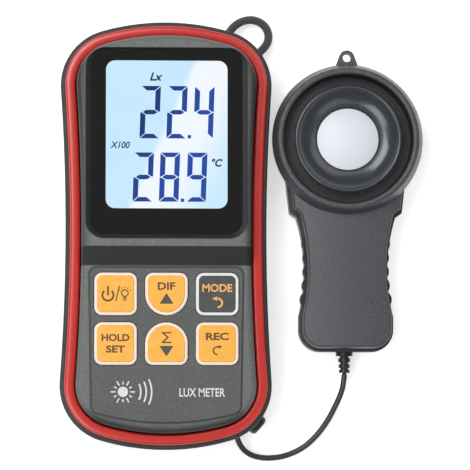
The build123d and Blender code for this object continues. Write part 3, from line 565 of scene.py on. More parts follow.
@dataclass(frozen=True)
class SolderMask(Finish):
    """Glass-epoxy board under green solder mask: copper tracks show through as a lighter green."""

    track: str = "#1f7a3c"
    pitch_mm: float = 2.54
    track_mm: float = 0.25
    copper_mm: float = 0.035

    def pattern(self, weave: Weave) -> None:
        """Draws straight tracks at the board's grid and raises them by the copper's thickness."""
        black, white = linear("#000000"), linear("#ffffff")
        tracks = add_node(weave.tree, "ShaderNodeTexBrick", {
            "Scale": 1.0, "Mortar Size": self.track_mm * MM, "Mortar Smooth": 0.1,
            "Brick Width": 5 * self.pitch_mm * MM, "Row Height": self.pitch_mm * MM,
            "Color1": black, "Color2": black, "Mortar": white, "Vector": weave.place(),
        }).outputs["Color"]
        weave.feed({"Base Color": weave.mix(tracks, self.colour, self.track)})
        weave.raise_grain(tracks, self.copper_mm)


@dataclass(frozen=True)
class PrintedSleeve(Finish):
    """The shrunk sleeve of a dry cell: glossy film, plain at one end and dark at the other."""

    dark: str = "#1d1f24"
    split_mm: float = -20.0
    blur_mm: float = 0.2
    ripple_mm: float = 1.8
    ripple_depth_mm: float = 0.01

    def pattern(self, weave: Weave) -> None:
        """Parts the sleeve's two colours at a line across the cell."""
        share = weave.between(weave.along("Y"), self.split_mm, self.split_mm + self.blur_mm)
        weave.feed({"Base Color": weave.mix(share, self.dark, self.colour)})
        weave.raise_grain(weave.noise(self.ripple_mm), self.ripple_depth_mm)


@dataclass(frozen=True)
class BraidedCord(Finish):
    """Braided polyester cord: small crossing strands with a painted glint along the cord's length."""

    # painted glint on the strands' crossings
    glint: str = "#6a6e6c"
    strand_mm: float = 0.75
    strand_depth_mm: float = 0.12
    wave_share: float = 0.32  # waves in one strand's width at a scale of one
    lean_rad: float = 0.8
    fuzz: float = 0.25

    def pattern(self, weave: Weave) -> None:
        """Crosses two sets of diagonal strands, raises them and paints a glint where they cross."""
        waves = []
        for lean in (self.lean_rad, -self.lean_rad):
            turned = add_node(
                weave.tree, "ShaderNodeMapping", {"Rotation": (0.35, 0.2, lean), "Vector": weave.place()}
            )
            wave = add_node(weave.tree, "ShaderNodeTexWave", {
                "Scale": self.wave_share / (self.strand_mm * MM), "Distortion": 0.6, "Detail": 1.0,
                "Vector": turned.outputs[0],
            })
            waves.append(wave.outputs["Fac"])
        crossed = weave.work("MULTIPLY", *waves)
        # painted glint where the strands cross
        weave.feed({"Base Color": weave.mix(crossed, self.colour, self.glint), "Sheen Weight": self.fuzz})
        weave.raise_grain(crossed, self.strand_depth_mm)


@dataclass(frozen=True)
class StudioPaper(Finish):
    """Seamless white paper: flat and matt, with a trace of fibre."""

    fibre: str = "#f6f6f6"
    fibre_mm: float = 1.5
    glow: float = 0.0

    def pattern(self, weave: Weave) -> None:
        """Adds the fibres, and the even light that such paper gives back all round."""
        weave.feed({
            "Base Color": weave.mix(weave.noise(self.fibre_mm), self.colour, self.fibre),
            "Emission Color": linear("#ffffff"), "Emission Strength": self.glow,
        })


HOUSING = MouldedPlastic("abs_dark_grey_spark_eroded", "#292826", 0.5, second="#373634")
FACE = FaceMoulding("abs_mid_grey_spark_eroded", "#595c5a", 0.5, second="#707371")
PANEL = MouldedPlastic("abs_panel_grey_spark_eroded", "#484b4a", 0.52, second="#5e6160")
BAND = HonedSkin(
    "rubber_red_glossy", "#c9231b", 0.3, second="#ca251d", gloss=0.5, depth_mm=0.002, sheen_change=0.01
)
BLACK_RUBBER = HonedSkin("rubber_black_satin", "#1f1e21", 0.4, second="#29282b")
LEAD_JACKET = HonedSkin("pvc_lead_jacket", "#2a2b2d", 0.36, second="#343537", gloss=0.2)
LOOP_CORD = BraidedCord("polyester_braid_charcoal", "#262929", 0.6)
LENS = ClearAcrylic("acrylic_clear_polished", "#ffffff", 0.02, 1.49)
BORDER = ScreenInk("ink_black_behind_lens", "#050506", 0.5, second="#08080a", shine=0.0)
FILM = BacklitFilmWithGlare("polariser_backlit", "#20262a", 0.5)
SEGMENTS = SegmentDyeWithGlare("liquid_crystal_blue", "#0a1226", 0.5)
SIGNS = SegmentDyeWithGlare("liquid_crystal_navy", "#0a1226", 0.5, dark="#0f2a55", bright="#0f2a55")
LIGHT_GUIDE = SatinSkin("acrylic_light_guide", "#d8ecfa", 0.35, second="#cfe6f8")
WHITE_NYLON = MouldedPlastic("nylon_natural", "#dcdcd4", 0.5, second="#e6e6e0", depth_mm=0.02)
KEY_ORANGE = SatinSkin("key_lacquer_orange", "#f7b03a", 0.45, second="#f9b948")
KEY_CREAM = SatinSkin("key_silicone_cream", "#f1e0d2", 0.5, second="#f5e6d9")
KEY_WHITE = SatinSkin("key_silicone_white", "#e2e7e5", 0.5, second="#e9edeb")
KEY_GREY = SatinSkin("key_lacquer_grey", "#404343", 0.42, second="#464949")
INK_BROWN = ScreenInk("ink_brown", "#5f361f", 0.5, second="#6a4026")
INK_GREY = ScreenInk("ink_grey", "#434341", 0.5, second="#4c4c49")
INK_ORANGE = ScreenInk("ink_orange", "#f2a94c", 0.5, second="#efb767")
INK_WHITE = ScreenInk("ink_white", "#e4e7e5", 0.5, second="#d3d6d4")
# painted shade: a dark line for the gap round the keypad panel
GAP_SHADE = ScreenInk("painted_gap_shade", "#232523", 0.5, second="#2b2d2b")
INK_LABEL = ScreenInk("ink_label_black", "#27282a", 0.5, second="#303133")
LABEL = MouldedPlastic(
    "polyester_label_silver", "#9fa1a3", 0.35, metallic=0.3, second="#a9abad", depth_mm=0.01
)
ZINC = PlatedMetal("steel_zinc_plated", "#b9bab8", 0.32, metallic=1.0)
NICKEL = PlatedMetal("steel_nickel_plated", "#d2cdc2", 0.24, metallic=1.0, second="#b3aea2")
BOARD = SolderMask("fr4_green_mask", "#0e4a24", 0.3)
CHIP = MouldedPlastic("epoxy_black_moulded", "#19191b", 0.5, second="#232326", depth_mm=0.02)
CELL = PrintedSleeve("cell_sleeve_gloss", "#b9882e", 0.25)
HEAD = HeadMoulding("abs_head_spark_eroded", "#3b3c40", 0.34, second="#525358")
HEAD_RIM = MouldedPlastic("abs_head_shell_black", "#2e2f32", 0.42, second="#38393d", depth_mm=0.03)
BOWL = HonedSkin("abs_bowl_satin", "#2f333a", 0.22, second="#353940", gloss=0.6)
OPAL = OpalAcrylic("acrylic_opal_matt", "#e4e7ed", 0.4, 1.49)
FILTER = MouldedPlastic("glass_filter_green", "#3c7a5a", 0.08, 1.52, second="#3f8060", depth_mm=0.002)
PAPER = StudioPaper("paper_white_seamless", "#fbfbfb", 0.9, glow=0.55)


# ---------------------------------------------------------------- making pieces
def finish_piece(
    name: str, mesh: bpy.types.Mesh, body: str | None, finish: Finish,
    replaces: tuple[str, ...] = (), sharp_deg: float = 35.0,
) -> bpy.types.Object:
    """Makes an object of a mesh, dresses it and ties it to the frame.

    Args:
        name: the piece's name.
        mesh: its mesh, in metres in the frame.
        body: the CAD body that it rides on, or None to leave it untied.
        finish: what it is dressed in.
        replaces: the CAD nodes that it stands for.
        sharp_deg: edges that turn more than this stay sharp.

    Returns:
        The new object.
    """
    piece = bpy.data.objects.new(name, mesh)
    bpy.context.scene.collection.objects.link(piece)
    mesh.materials.append(finish.material())
    mesh.polygons.foreach_set("use_smooth", [True] * len(mesh.polygons))
    mesh.set_sharp_from_angle(angle=math.radians(sharp_deg))
    if body:
        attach(piece, body)
    if replaces:
        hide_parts(*replaces)
    LOG.info("%s: %d faces, on %s", name, len(mesh.polygons), body or "two bodies")
    return piece


def mesh_of(name: str, points: list[Place], faces: list[tuple[int, ...]]) -> bpy.types.Mesh:
    """A mesh from points in millimetres, with its faces turned outwards.

    Args:
        name: the mesh's name.
        points: its points.
        faces: each face as the places of its points in that list.

    Returns:
        The mesh, in metres.
    """
    mesh = bpy.data.meshes.new(name)
    mesh.from_pydata([Vector(p) * MM for p in points], [], faces)
    work = bmesh.new()
    work.from_mesh(mesh)
    bmesh.ops.recalc_face_normals(work, faces=work.faces)
    work.to_mesh(mesh)
    work.free()
    return mesh


def dress(finishes: dict[str, Finish]) -> None:
    """Gives CAD nodes their finishes through their objects' material slots.

    Args:
        finishes: the finish of each node, by name.
    """
    for node, finish in finishes.items():
        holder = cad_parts[node]
        if not holder.material_slots:
            holder.data.materials.append(finish.material())
        for slot in holder.material_slots:
            slot.link = "OBJECT"
            slot.material = finish.material()
        LOG.info("%s: dressed in %s", node, finish.name)


def stand_of(node: str) -> tuple[Flat, float, float]:
    """Where a CAD node stands: the middle of its box in plan, its underside and its top, in millimetres."""
    low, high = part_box(node)
    middle = (low + high) / 2 / MM
    return (middle.x, middle.y), low.z / MM, high.z / MM


def round_line(centre: Flat, radius: float, turns: list[float]) -> list[Flat]:
    """The points on a circle at the given turns, which are in radians."""
    return [(centre[0] + radius * math.cos(t), centre[1] + radius * math.sin(t)) for t in turns]


def full_turns(steps: int) -> list[float]:
    """Even turns all the way round, in radians."""
    return [2 * math.pi * i / steps for i in range(steps)]


def ring_faces(rings: int, sides: int, closed: bool) -> list[tuple[int, ...]]:
    """The four-sided faces between rings of points that follow each other in a list.

    Args:
        rings: how many rings there are.
        sides: how many points each ring has.
        closed: whether the last ring joins the first again.

    Returns:
        Each face as the places of its points in the list.
    """
    faces = []
    for ring in range(rings if closed else rings - 1):
        near, far = ring * sides, (ring + 1) % rings * sides
        for i in range(sides):
            after = (i + 1) % sides
            faces.append((near + i, near + after, far + after, far + i))
    return faces


def rounded_box(width: float, height: float, corner: float, centre: Flat, steps: int = 8) -> list[Flat]:
    """The outline of a rectangle with round corners.

    Args:
        width: its size across.
        height: its size up.
        corner: the radius of its corners.
        centre: its middle.
        steps: how many runs each corner has.

    Returns:
        Its points, counterclockwise.
    """
    points = []
    for quarter in range(4):
        sx, sy = ((1, 1), (-1, 1), (-1, -1), (1, -1))[quarter]
        for i in range(steps + 1):
            turn = math.radians(90 * (quarter + i / steps))
            points.append((
                centre[0] + sx * (width / 2 - corner) + corner * math.cos(turn),
                centre[1] + sy * (height / 2 - corner) + corner * math.sin(turn),
            ))
    return points


@dataclass
class Marks:
    """Flat marks in one ink, raised a hair off a surface. They are laid down in millimetres.

    A mark's own points are measured from origin.
    """

    origin: Flat
    base: float
    thick: float = 0.02
    points: list[Place] = field(default_factory=list)
    faces: list[tuple[int, ...]] = field(default_factory=list)

    def shape(self, outline: list[Flat]) -> None:
        """Adds a solid mark.

        Args:
            outline: its points in order.
        """
        start, count = len(self.points), len(outline)
        for level in (self.base, self.base + self.thick):
            self.points += [(x + self.origin[0], y + self.origin[1], level) for x, y in outline]
        self.faces.append(tuple(range(start, start + count)))
        self.faces.append(tuple(range(start + count, start + 2 * count)))
        for i in range(count):
            after = (i + 1) % count
            self.faces.append((start + i, start + after, start + count + after, start + count + i))

    def ring(self, outer: list[Flat], inner: list[Flat]) -> None:
        """Adds a mark with an opening.

        Args:
            outer: its outline.
            inner: the opening's outline, with as many points.
        """
        start, count = len(self.points), len(outer)
        for outline in (outer, inner):
            for level in (self.base, self.base + self.thick):
                self.points += [(x + self.origin[0], y + self.origin[1], level) for x, y in outline]
        low_out, high_out, low_in, high_in = (start + i * count for i in range(4))
        for i in range(count):
            after = (i + 1) % count
            for first, second in (
                (low_out, high_out), (high_out, high_in), (high_in, low_in), (low_in, low_out)
            ):
                self.faces.append((first + i, first + after, second + after, second + i))

    def line(self, start: Flat, end: Flat, width: float) -> None:
        """Adds a straight stroke of the given width."""
        along = Vector(end) - Vector(start)
        side = Vector((-along.y, along.x)).normalized() * width / 2
        corners = (Vector(start) - side, Vector(end) - side, Vector(end) + side, Vector(start) + side)
        self.shape([tuple(corner) for corner in corners])

    def arc(
        self, centre: Flat, radius: float, start_deg: float, end_deg: float, width: float, steps: int = 20
    ) -> None:
        """Adds a stroke along an arc.

        Args:
            centre: the arc's centre.
            radius: to the middle of the stroke.
            start_deg: where it starts, from +X.
            end_deg: where it ends.
            width: the stroke's width.
            steps: how many runs it has.
        """
        turns = [math.radians(start_deg + (end_deg - start_deg) * i / steps) for i in range(steps + 1)]
        outer = round_line(centre, radius + width / 2, turns)
        self.shape(outer + round_line(centre, radius - width / 2, turns[::-1]))

    def circle(self, centre: Flat, radius: float, width: float, steps: int = 28) -> None:
        """Adds a closed stroke round a centre."""
        turns = full_turns(steps)
        self.ring(*(round_line(centre, radius + half, turns) for half in (width / 2, -width / 2)))

    def disc(self, centre: Flat, radius: float, steps: int = 28) -> None:
        """Adds a filled circle."""
        self.shape(round_line(centre, radius, full_turns(steps)))

    def words(
        self, text: str, centre: Flat, width: float, height: float, weight: float = 0.0, slant: float = 0.0
    ) -> None:
        """Adds lettering, fitted to a width and a height.

        Args:
            text: what it says.
            centre: the middle of the line of lettering.
            width: how long the line is.
            height: how tall its capitals are.
            weight: how far each stroke is thickened, in the font's own units.
            slant: how far the letters lean.
        """
        curve = bpy.data.curves.new("lettering", "FONT")
        curve.body = text
        curve.extrude = 0.5
        curve.offset = weight
        curve.shear = slant
        curve.resolution_u = LETTER_STEPS
        holder = bpy.data.objects.new("lettering", curve)
        bpy.context.scene.collection.objects.link(holder)
        bpy.context.view_layer.update()
        flat = bpy.data.meshes.new_from_object(
            holder.evaluated_get(bpy.context.evaluated_depsgraph_get())
        )
        work = bmesh.new()
        work.from_mesh(flat)
        bmesh.ops.remove_doubles(work, verts=work.verts, dist=WELD)
        low = Vector([min(v.co[i] for v in work.verts) for i in range(3)])
        high = Vector([max(v.co[i] for v in work.verts) for i in range(3)])
        size = high - low
        start = len(self.points)
        for index, vert in enumerate(work.verts):
            vert.index = index
            share = vert.co - low
            self.points.append((
                self.origin[0] + centre[0] + (share.x / size.x - 0.5) * width,
                self.origin[1] + centre[1] + (share.y / size.y - 0.5) * height,
                self.base + share.z / size.z * self.thick,
            ))
        self.faces += [tuple(start + v.index for v in face.verts) for face in work.faces]
        work.free()
        bpy.data.objects.remove(holder)
        bpy.data.curves.remove(curve)
        bpy.data.meshes.remove(flat)

    def piece(self, name: str, body: str, slot: str, finish: Finish, replaces: tuple[str, ...] = ()) -> None:
        """Makes the piece of all marks added so far.

        Args:
            name: the piece's name.
            body: the CAD body that it rides on.
            slot: not used.
            finish: its ink.
            replaces: the CAD nodes that it stands for.
        """
        finish_piece(name, mesh_of(name, self.points, self.faces), body, finish, replaces)


def smooth_line(route: list[Place]) -> list[Vector]:
    """The points of a route's smooth line, read from a NURBS spline that has the route as its controls.

    Args:
        route: the route's points, in millimetres.

    Returns:
        Points close together along the line, in metres.
    """
    curve = bpy.data.curves.new("line", "CURVE")
    curve.dimensions = "3D"
    curve.resolution_u = LINE_STEPS
    spline = curve.splines.new("NURBS")
    spline.points.add(len(route) - 1)
    for point, place in zip(spline.points, route):
        point.co = (*(Vector(place) * MM), 1.0)
    spline.order_u = 3
    spline.use_endpoint_u = True
    holder = bpy.data.objects.new("line", curve)
    bpy.context.scene.collection.objects.link(holder)
    bpy.context.view_layer.update()
    run = bpy.data.meshes.new_from_object(holder)
    points = [v.co.copy() for v in run.vertices]
    bpy.data.objects.remove(holder)
    bpy.data.curves.remove(curve)
    bpy.data.meshes.remove(run)
    return points


def tube(name: str, line: list[Vector], radius: float, sides: int = 20) -> bpy.types.Mesh:
    """A round tube along a line, with a chamfer at its start and a dome at its far end.

    Args:
        name: the mesh's name.
        line: the centreline's points, in metres.
        radius: the tube's radius, in metres.
        sides: how many faces go round it.

    Returns:
        The tube's mesh.
    """
    ahead = [(b - a).normalized() for a, b in zip(line, line[1:])]
    heading = [ahead[0], *[(a + b).normalized() for a, b in zip(ahead, ahead[1:])], ahead[-1]]
    side = heading[0].orthogonal().normalized()
    stations = [(line[0] - heading[0] * radius * CHAMFER_RUN, CHAMFER_SHARE, heading[0])]
    stations += [(place, 1.0, way) for place, way in zip(line, heading)]
    for turn in DOME_TURNS_DEG:
        tip = line[-1] + heading[-1] * radius * math.sin(math.radians(turn))
        stations.append((tip, math.cos(math.radians(turn)), heading[-1]))
    points = []
    for place, share, way in stations:
        side = (side - way * side.dot(way)).normalized()
        up = way.cross(side)
        for turn in full_turns(sides):
            points.append(place + (side * math.cos(turn) + up * math.sin(turn)) * radius * share)
    faces = ring_faces(len(stations), sides, False)
    faces.append(tuple(range(sides)))
    faces.append(tuple((len(stations) - 1) * sides + i for i in range(sides)))
    return mesh_of(name, [point / MM for point in points], faces)


# ---------------------------------------------------------------- the meter's housing
@dataclass
class Housing:
    """The meter's two covers, the red band between them, the battery door, the label and the screws."""

    half_length: float = 80.0
    half_waist: float = 37.5
    corner_centre: Flat = (18.2, 56.1)
    corner_radius: float = 21.3
    band_outer: float = 1.68
    band_inner: float = 5.62
    band_neck: float = 2.5  # the part of the band between the covers starts here
    band_base: float = 17.1
    lip_base: float = 22.08
    crown_base: float = 22.9
    crown_top: float = 24.4
    crown_fullness: float = 0.55
    label_size: Flat = (42.0, 30.0)
    frame_inset: float = 1.2  # from the label's edge to its printed frame
    frame_reach: float = 2.7  # from the label's edge to the centres of the frame's corners
    frame_width: float = 0.3
    rule_inset: float = 4.0
    rule_top: float = 8.0
    rule_pitch: float = 5.2
    rule_width: float = 0.25
    rule_depth: float = 0.03
    rule_count: int = 4

    def outline(self, inset: float, steps: int = 30) -> list[Flat]:
        """The meter's outline moved inwards: bowed ends, big corners and hollow sides.

        Args:
            inset: how far inwards.
            steps: how many runs each of its arcs has.

        Returns:
            Its points, counterclockwise.
        """
        cx, cy = self.corner_centre
        corner = self.corner_radius - inset
        reach = self.half_waist - inset - cx
        rise = self.half_length - inset - cy
        side_radius = (reach**2 + cy**2 - corner**2) / (2 * (corner - reach))
        end_radius = (cx**2 + rise**2 - corner**2) / (2 * (rise - corner))
        side_x = self.half_waist - inset + side_radius
        end_y = self.half_length - inset - end_radius
        to_side = math.atan2(-cy, side_x - cx)
        to_end = math.atan2(cy - end_y, cx)
        arcs = [
            ((side_x, 0.0), side_radius, math.pi + math.atan2(cy, side_x - cx), math.pi + to_side),
            ((cx, cy), corner, to_side, to_end),
            ((0.0, end_y), end_radius, to_end, math.pi - to_end),
            ((-cx, cy), corner, math.pi - to_end, math.pi - to_side),
            ((-side_x, 0.0), side_radius, -to_side, to_side),
            ((-cx, -cy), corner, math.pi + to_side, math.pi + to_end),
            ((0.0, -end_y), end_radius, math.pi + to_end, 2 * math.pi - to_end),
            ((cx, -cy), corner, -to_end, -to_side),
        ]
        return [
            (x + radius * math.cos(turn), y + radius * math.sin(turn))
            for (x, y), radius, start, end in arcs
            for turn in (start + (end - start) * i / steps for i in range(steps))
        ]

    def crown(self, steps: int = 12) -> list[Flat]:
        """The band's cross-section: its crowned top, its lip over the rim and its neck.

        Args:
            steps: how many runs the crown has.

        Returns:
            Its points as inset and height.
        """
        middle = (self.band_outer + self.band_inner) / 2
        half = (self.band_inner - self.band_outer) / 2
        section = [(self.band_neck, self.band_base), (self.band_neck, self.lip_base)]
        section.append((self.band_outer, self.lip_base))
        for i in range(steps + 1):
            turn = math.pi * i / steps
            across = -math.copysign(abs(math.cos(turn)) ** self.crown_fullness, math.cos(turn))
            height = math.sin(turn) ** self.crown_fullness if 0 < i < steps else 0.0
            section.append((
                middle + half * across, self.crown_base + (self.crown_top - self.crown_base) * height
            ))
        section.append((self.band_inner, self.band_base))
        return section

    def build_band(self) -> None:
        """Sweeps the crowned band round the meter."""
        section = self.crown()
        loops = [[(x, y, z) for x, y in self.outline(inset)] for inset, z in section]
        points = [point for loop in loops for point in loop]
        mesh = mesh_of("red_band", points, ring_faces(len(loops), len(loops[0]), True))
        finish_piece("red_band", mesh, "meter", BAND, ("bumper_band",))

    def build_label(self) -> None:
        """Prints a plain frame with ruled lines on the label at the back."""
        middle, low, _ = stand_of("back_label")
        rules = Marks(middle, low - self.rule_depth)
        width, height = self.label_size
        rules.ring(*(
            rounded_box(width - 2 * inset, height - 2 * inset, self.frame_reach - inset, (0, 0))
            for inset in (self.frame_inset, self.frame_inset + self.frame_width)
        ))
        reach = width / 2 - self.rule_inset
        for row in range(self.rule_count):
            level = self.rule_top - self.rule_pitch * row
            rules.line((-reach, level), (reach, level), self.rule_width)
        rules.piece("label_rules", "meter", "border_print", INK_LABEL)

    def build(self) -> None:
        """Builds and dresses the housing."""
        self.build_band()
        self.build_label()
        dress({
            "back_cover": HOUSING, "front_cover": FACE, "battery_door": HOUSING,
            "back_label": LABEL, "case_screws": ZINC, "board_screws": ZINC,
        })


# ---------------------------------------------------------------- the display
class Bar(Enum):
    """The seven bars of a digit."""

    TOP = "a"
    UPPER_RIGHT = "b"
    LOWER_RIGHT = "c"
    BOTTOM = "d"
    LOWER_LEFT = "e"
    UPPER_LEFT = "f"
    MIDDLE = "g"


DIGIT_BARS = {"2": "abged", "4": "fgbc", "8": "abcdefg", "9": "abcdfg"}


@dataclass
class Digit:
    """One seven-bar digit, with mitred bars that lean a little."""

    centre: Flat
    width: float
    height: float
    upright: float = 1.95
    level: float = 1.7
    gap: float = 0.2
    lean: float = 0.035

    def bar(self, which: Bar) -> list[Flat]:
        """The outline of one bar.

        Args:
            which: the bar.

        Returns:
            Its points in order, in the meter's millimetres.
        """
        a, b = self.width / 2, self.height / 2
        v, h, g = self.upright, self.level, self.gap
        top = [(-a + g, b), (a - g, b), (a - v - g, b - h), (-a + v + g, b - h)]
        right = [(a, b - g), (a, g), (a - 0.25 * v, g * 0.7), (a - v, h / 2 + g), (a - v, b - h - g)]
        middle = [
            (-a + 0.45 * v, 0), (-a + v + g, h / 2), (a - v - g, h / 2),
            (a - 0.45 * v, 0), (a - v - g, -h / 2), (-a + v + g, -h / 2),
        ]
        flips = {
            Bar.TOP: (top, 1, 1), Bar.BOTTOM: (top, 1, -1), Bar.MIDDLE: (middle, 1, 1),
            Bar.UPPER_RIGHT: (right, 1, 1), Bar.LOWER_RIGHT: (right, 1, -1),
            Bar.UPPER_LEFT: (right, -1, 1), Bar.LOWER_LEFT: (right, -1, -1),
        }
        outline, sx, sy = flips[which]
        return [
            (self.centre[0] + sx * x + self.lean * sy * y, self.centre[1] + sy * y) for x, y in outline
        ]


@dataclass
class Display:
    """The window: its clear lens, the black print behind it, and the backlit glass with its figures, whose
    glow is painted light.
    """

    window: Flat = (45.2, 55.2)
    window_corner: float = 3.4
    lens: Flat = (56.1, 68.9)
    lens_corner: float = 5.2
    digit_width: float = 7.3
    upper_row: tuple[str, float, float, tuple[float, ...]] = ("224", 8.3, 19.6, (-6.17, 3.81, 13.83))
    lower_row: tuple[str, float, float, tuple[float, ...]] = ("289", -15.94, 18.3, (-8.69, 1.05, 11.2))
    upper_point: Flat = (8.41, -0.82)
    lower_point: Flat = (5.87, -24.56)
    point_size: float = 1.25
    figure_gap: float = 0.01
    print_depth: float = 0.1
    signs: tuple[tuple[str, Flat, float, float, float, float], ...] = (
        ("Lx", (-3.9, 21.6), 4.9, 3.1, 0.03, 0.3),
        ("X100", (-17.3, -4.0), 7.3, 2.6, 0.02, 0.25),
        ("°C", (18.8, -10.5), 4.0, 3.1, 0.035, 0.25),
    )  # each with its centre, width, height, weight and slant

    def build_print(self) -> None:
        """Lays the black border behind the lens."""
        middle, low, _ = stand_of("lens_border")
        border = Marks((0.0, 0.0), low, self.print_depth)
        border.ring(
            rounded_box(*self.lens, self.lens_corner, middle),
            rounded_box(*self.window, self.window_corner, stand_of("lcd_glass")[0]),
        )
        border.piece("border_print", "meter", "border_print", BORDER, ("lens_border",))

    def build_figures(self) -> None:
        """Sets the two rows of digits, their points and the small signs on the glass."""
        centre, _, top = stand_of("lcd_glass")
        figures, signs = (Marks(centre, top + self.figure_gap) for _ in range(2))
        for digits, y, height, places in (self.upper_row, self.lower_row):
            for digit, x in zip(digits, places):
                shape = Digit((x, y), self.digit_width, height)
                for which in DIGIT_BARS[digit]:
                    figures.shape(shape.bar(Bar(which)))
        half = self.point_size / 2
        for x, y in (self.upper_point, self.lower_point):
            figures.line((x - half, y), (x + half, y), self.point_size)
        figures.piece("display_figures", "meter", "lcd_glass", SEGMENTS)
        for sign in self.signs:
            signs.words(*sign)
        signs.piece("display_signs", "meter", "lcd_glass", SIGNS)

    def build(self) -> None:
        """Builds and dresses the display."""
        self.build_print()
        self.build_figures()
        dress({
            "display_lens": LENS, "lcd_glass": FILM, "lcd_backlight": LIGHT_GUIDE,
            "lcd_frame": WHITE_NYLON, "lcd_contact_strip": BLACK_RUBBER,
        })


# ---------------------------------------------------------------- the keypad
class Key(Enum):
    """The six keys, by what they do."""

    POWER = "power"
    UP = "up"
    MODE = "mode"
    HOLD = "hold"
    DOWN = "down"
    RECORD = "record"


@dataclass
class Keypad:
    """The keypad's panel with its print, and the six keys with their legends."""

    legend_gap: float = 0.003
    edge_width: float = 0.55
    edge_inset: float = 0.05
    sun: Flat = (-16.0, -58.7)
    sun_radius: float = 1.9
    sun_rays: int = 12
    ray_foot: float = 2.7
    ray_tips: tuple[float, float] = (4.5, 3.8)  # long and short rays in turn
    ray_width: float = 0.5
    arc_radii: tuple[float, ...] = (6.6, 8.6, 10.6)
    arc_half_deg: float = 26.0
    arc_width: float = 0.6
    name_centre: Flat = (13.3, -58.9)
    name_size: Flat = (16.9, 3.2)
    name_weight: float = 0.016

    def marks_on(self, key: Key) -> Marks:
        """Empty marks, measured from the middle of a key's face and lying on it."""
        middle, _, top = stand_of(f"key_{key.value}_cap")
        return Marks(middle, top + self.legend_gap)

    def stamp(self, marks: Marks, name: str, key: Key, ink: Finish) -> None:
        """Makes a piece of marks on a key."""
        marks.piece(name, f"key_{key.value}", "key_border", ink)

    def print_power(self) -> None:
        """Prints the switch sign, a slash and a lamp with its rays."""
        ink = self.marks_on(Key.POWER)
        ring, ring_gap_deg = (-2.85, -0.5), 42
        ink.arc(ring, 2.05, 90 + ring_gap_deg, 360 + 90 - ring_gap_deg, 0.72, 30)
        ink.line((ring[0], -0.6), (ring[0], 2.9), 0.68)
        ink.line((0.05, -2.75), (1.4, 2.95), 0.42)
        lamp, half_rung = (3.4, 0.25), 0.62
        ink.circle(lamp, 1.22, 0.42)
        for height in (-1.4, -1.4 - 0.48, -1.4 - 0.48 * 2):
            ink.line((lamp[0] - half_rung, height), (lamp[0] + half_rung, height), 0.34)
        rays = [math.radians(turn) for turn in (30, 60, 90, 120, 150)]
        for start, end in zip(round_line(lamp, 1.85, rays), round_line(lamp, 2.5, rays)):
            ink.line(start, end, 0.3)
        self.stamp(ink, "legend_power", Key.POWER, INK_BROWN)

    def print_up(self) -> None:
        """Prints the difference function's letters and an arrowhead up."""
        ink = self.marks_on(Key.UP)
        ink.words("DIF", (0.0, 2.9), 6.5, 2.85, 0.032)
        self.stamp(ink, "legend_up", Key.UP, INK_BROWN)
        head = self.marks_on(Key.UP)
        head.shape([(-2.6, -3.65), (2.6, -3.65), (0.0, 0.35)])
        self.stamp(head, "arrow_up", Key.UP, INK_GREY)

    def print_mode(self) -> None:
        """Prints the mode key's name over an arrow that turns back."""
        ink = self.marks_on(Key.MODE)
        ink.words("MODE", (0.0, 2.25), 11.1, 3.0, 0.03)
        ink.shape([(-1.95, -1.7), (-0.1, -2.55), (-0.1, -0.85)])
        ink.line((-0.2, -1.7), (0.25, -1.7), 0.72)
        ink.arc((0.2, -3.3), 1.6, 90, -95, 0.72)
        self.stamp(ink, "legend_mode", Key.MODE, INK_ORANGE)

    def print_hold(self) -> None:
        """Prints the hold key's two functions, one over the other."""
        ink = self.marks_on(Key.HOLD)
        ink.words("HOLD", (0.0, 2.2), 10.3, 2.7, 0.034)
        ink.words("SET", (0.0, -2.05), 7.0, 2.7, 0.034)
        self.stamp(ink, "legend_hold", Key.HOLD, INK_BROWN)

    def print_down(self) -> None:
        """Prints the sum sign over an arrowhead down."""
        ink = self.marks_on(Key.DOWN)
        ink.shape([
            (1.8, 4.3), (-1.75, 4.3), (-1.75, 3.95), (0.15, 2.3), (-1.8, 0.6), (-1.8, 0.2), (1.85, 0.2),
            (1.85, 0.72), (-0.75, 0.72), (1.0, 2.3), (-0.75, 3.8), (1.8, 3.8),
        ])
        self.stamp(ink, "legend_down", Key.DOWN, INK_BROWN)
        head = self.marks_on(Key.DOWN)
        head.shape([(-2.65, -0.85), (0.0, -4.75), (2.65, -0.85)])
        self.stamp(head, "arrow_down", Key.DOWN, INK_GREY)

    def print_record(self) -> None:
        """Prints the recording key's name over an arrow that turns forward."""
        ink = self.marks_on(Key.RECORD)
        ink.words("REC", (0.0, 2.7), 8.5, 2.8, 0.034)
        ink.shape([(1.9, -1.15), (0.5, -0.4), (0.5, -1.9)])
        ink.line((-0.1, -1.15), (0.6, -1.15), 0.55)
        ink.arc((-0.05, -2.55), 1.4, 90, 275, 0.55)
        self.stamp(ink, "legend_record", Key.RECORD, INK_BROWN)

    def print_panel(self) -> None:
        """Prints a sun with spreading light and the meter's plain name on the panel."""
        badge = Marks(self.sun, stand_of("keypad_panel")[2] + self.legend_gap)
        middle = (0.0, 0.0)
        badge.disc(middle, self.sun_radius)
        for ray in range(self.sun_rays):
            turn = [math.radians(360 / self.sun_rays * ray)]
            ends = [round_line(middle, reach, turn)[0] for reach in (self.ray_foot, self.ray_tips[ray % 2])]
            badge.line(*ends, self.ray_width)
        for radius in self.arc_radii:
            badge.arc(middle, radius, -self.arc_half_deg, self.arc_half_deg, self.arc_width, 12)
        name_centre = (self.name_centre[0] - self.sun[0], self.name_centre[1] - self.sun[1])
        badge.words("LUX METER", name_centre, *self.name_size, self.name_weight)
        badge.piece("panel_print", "meter", "panel_plastic", INK_WHITE)

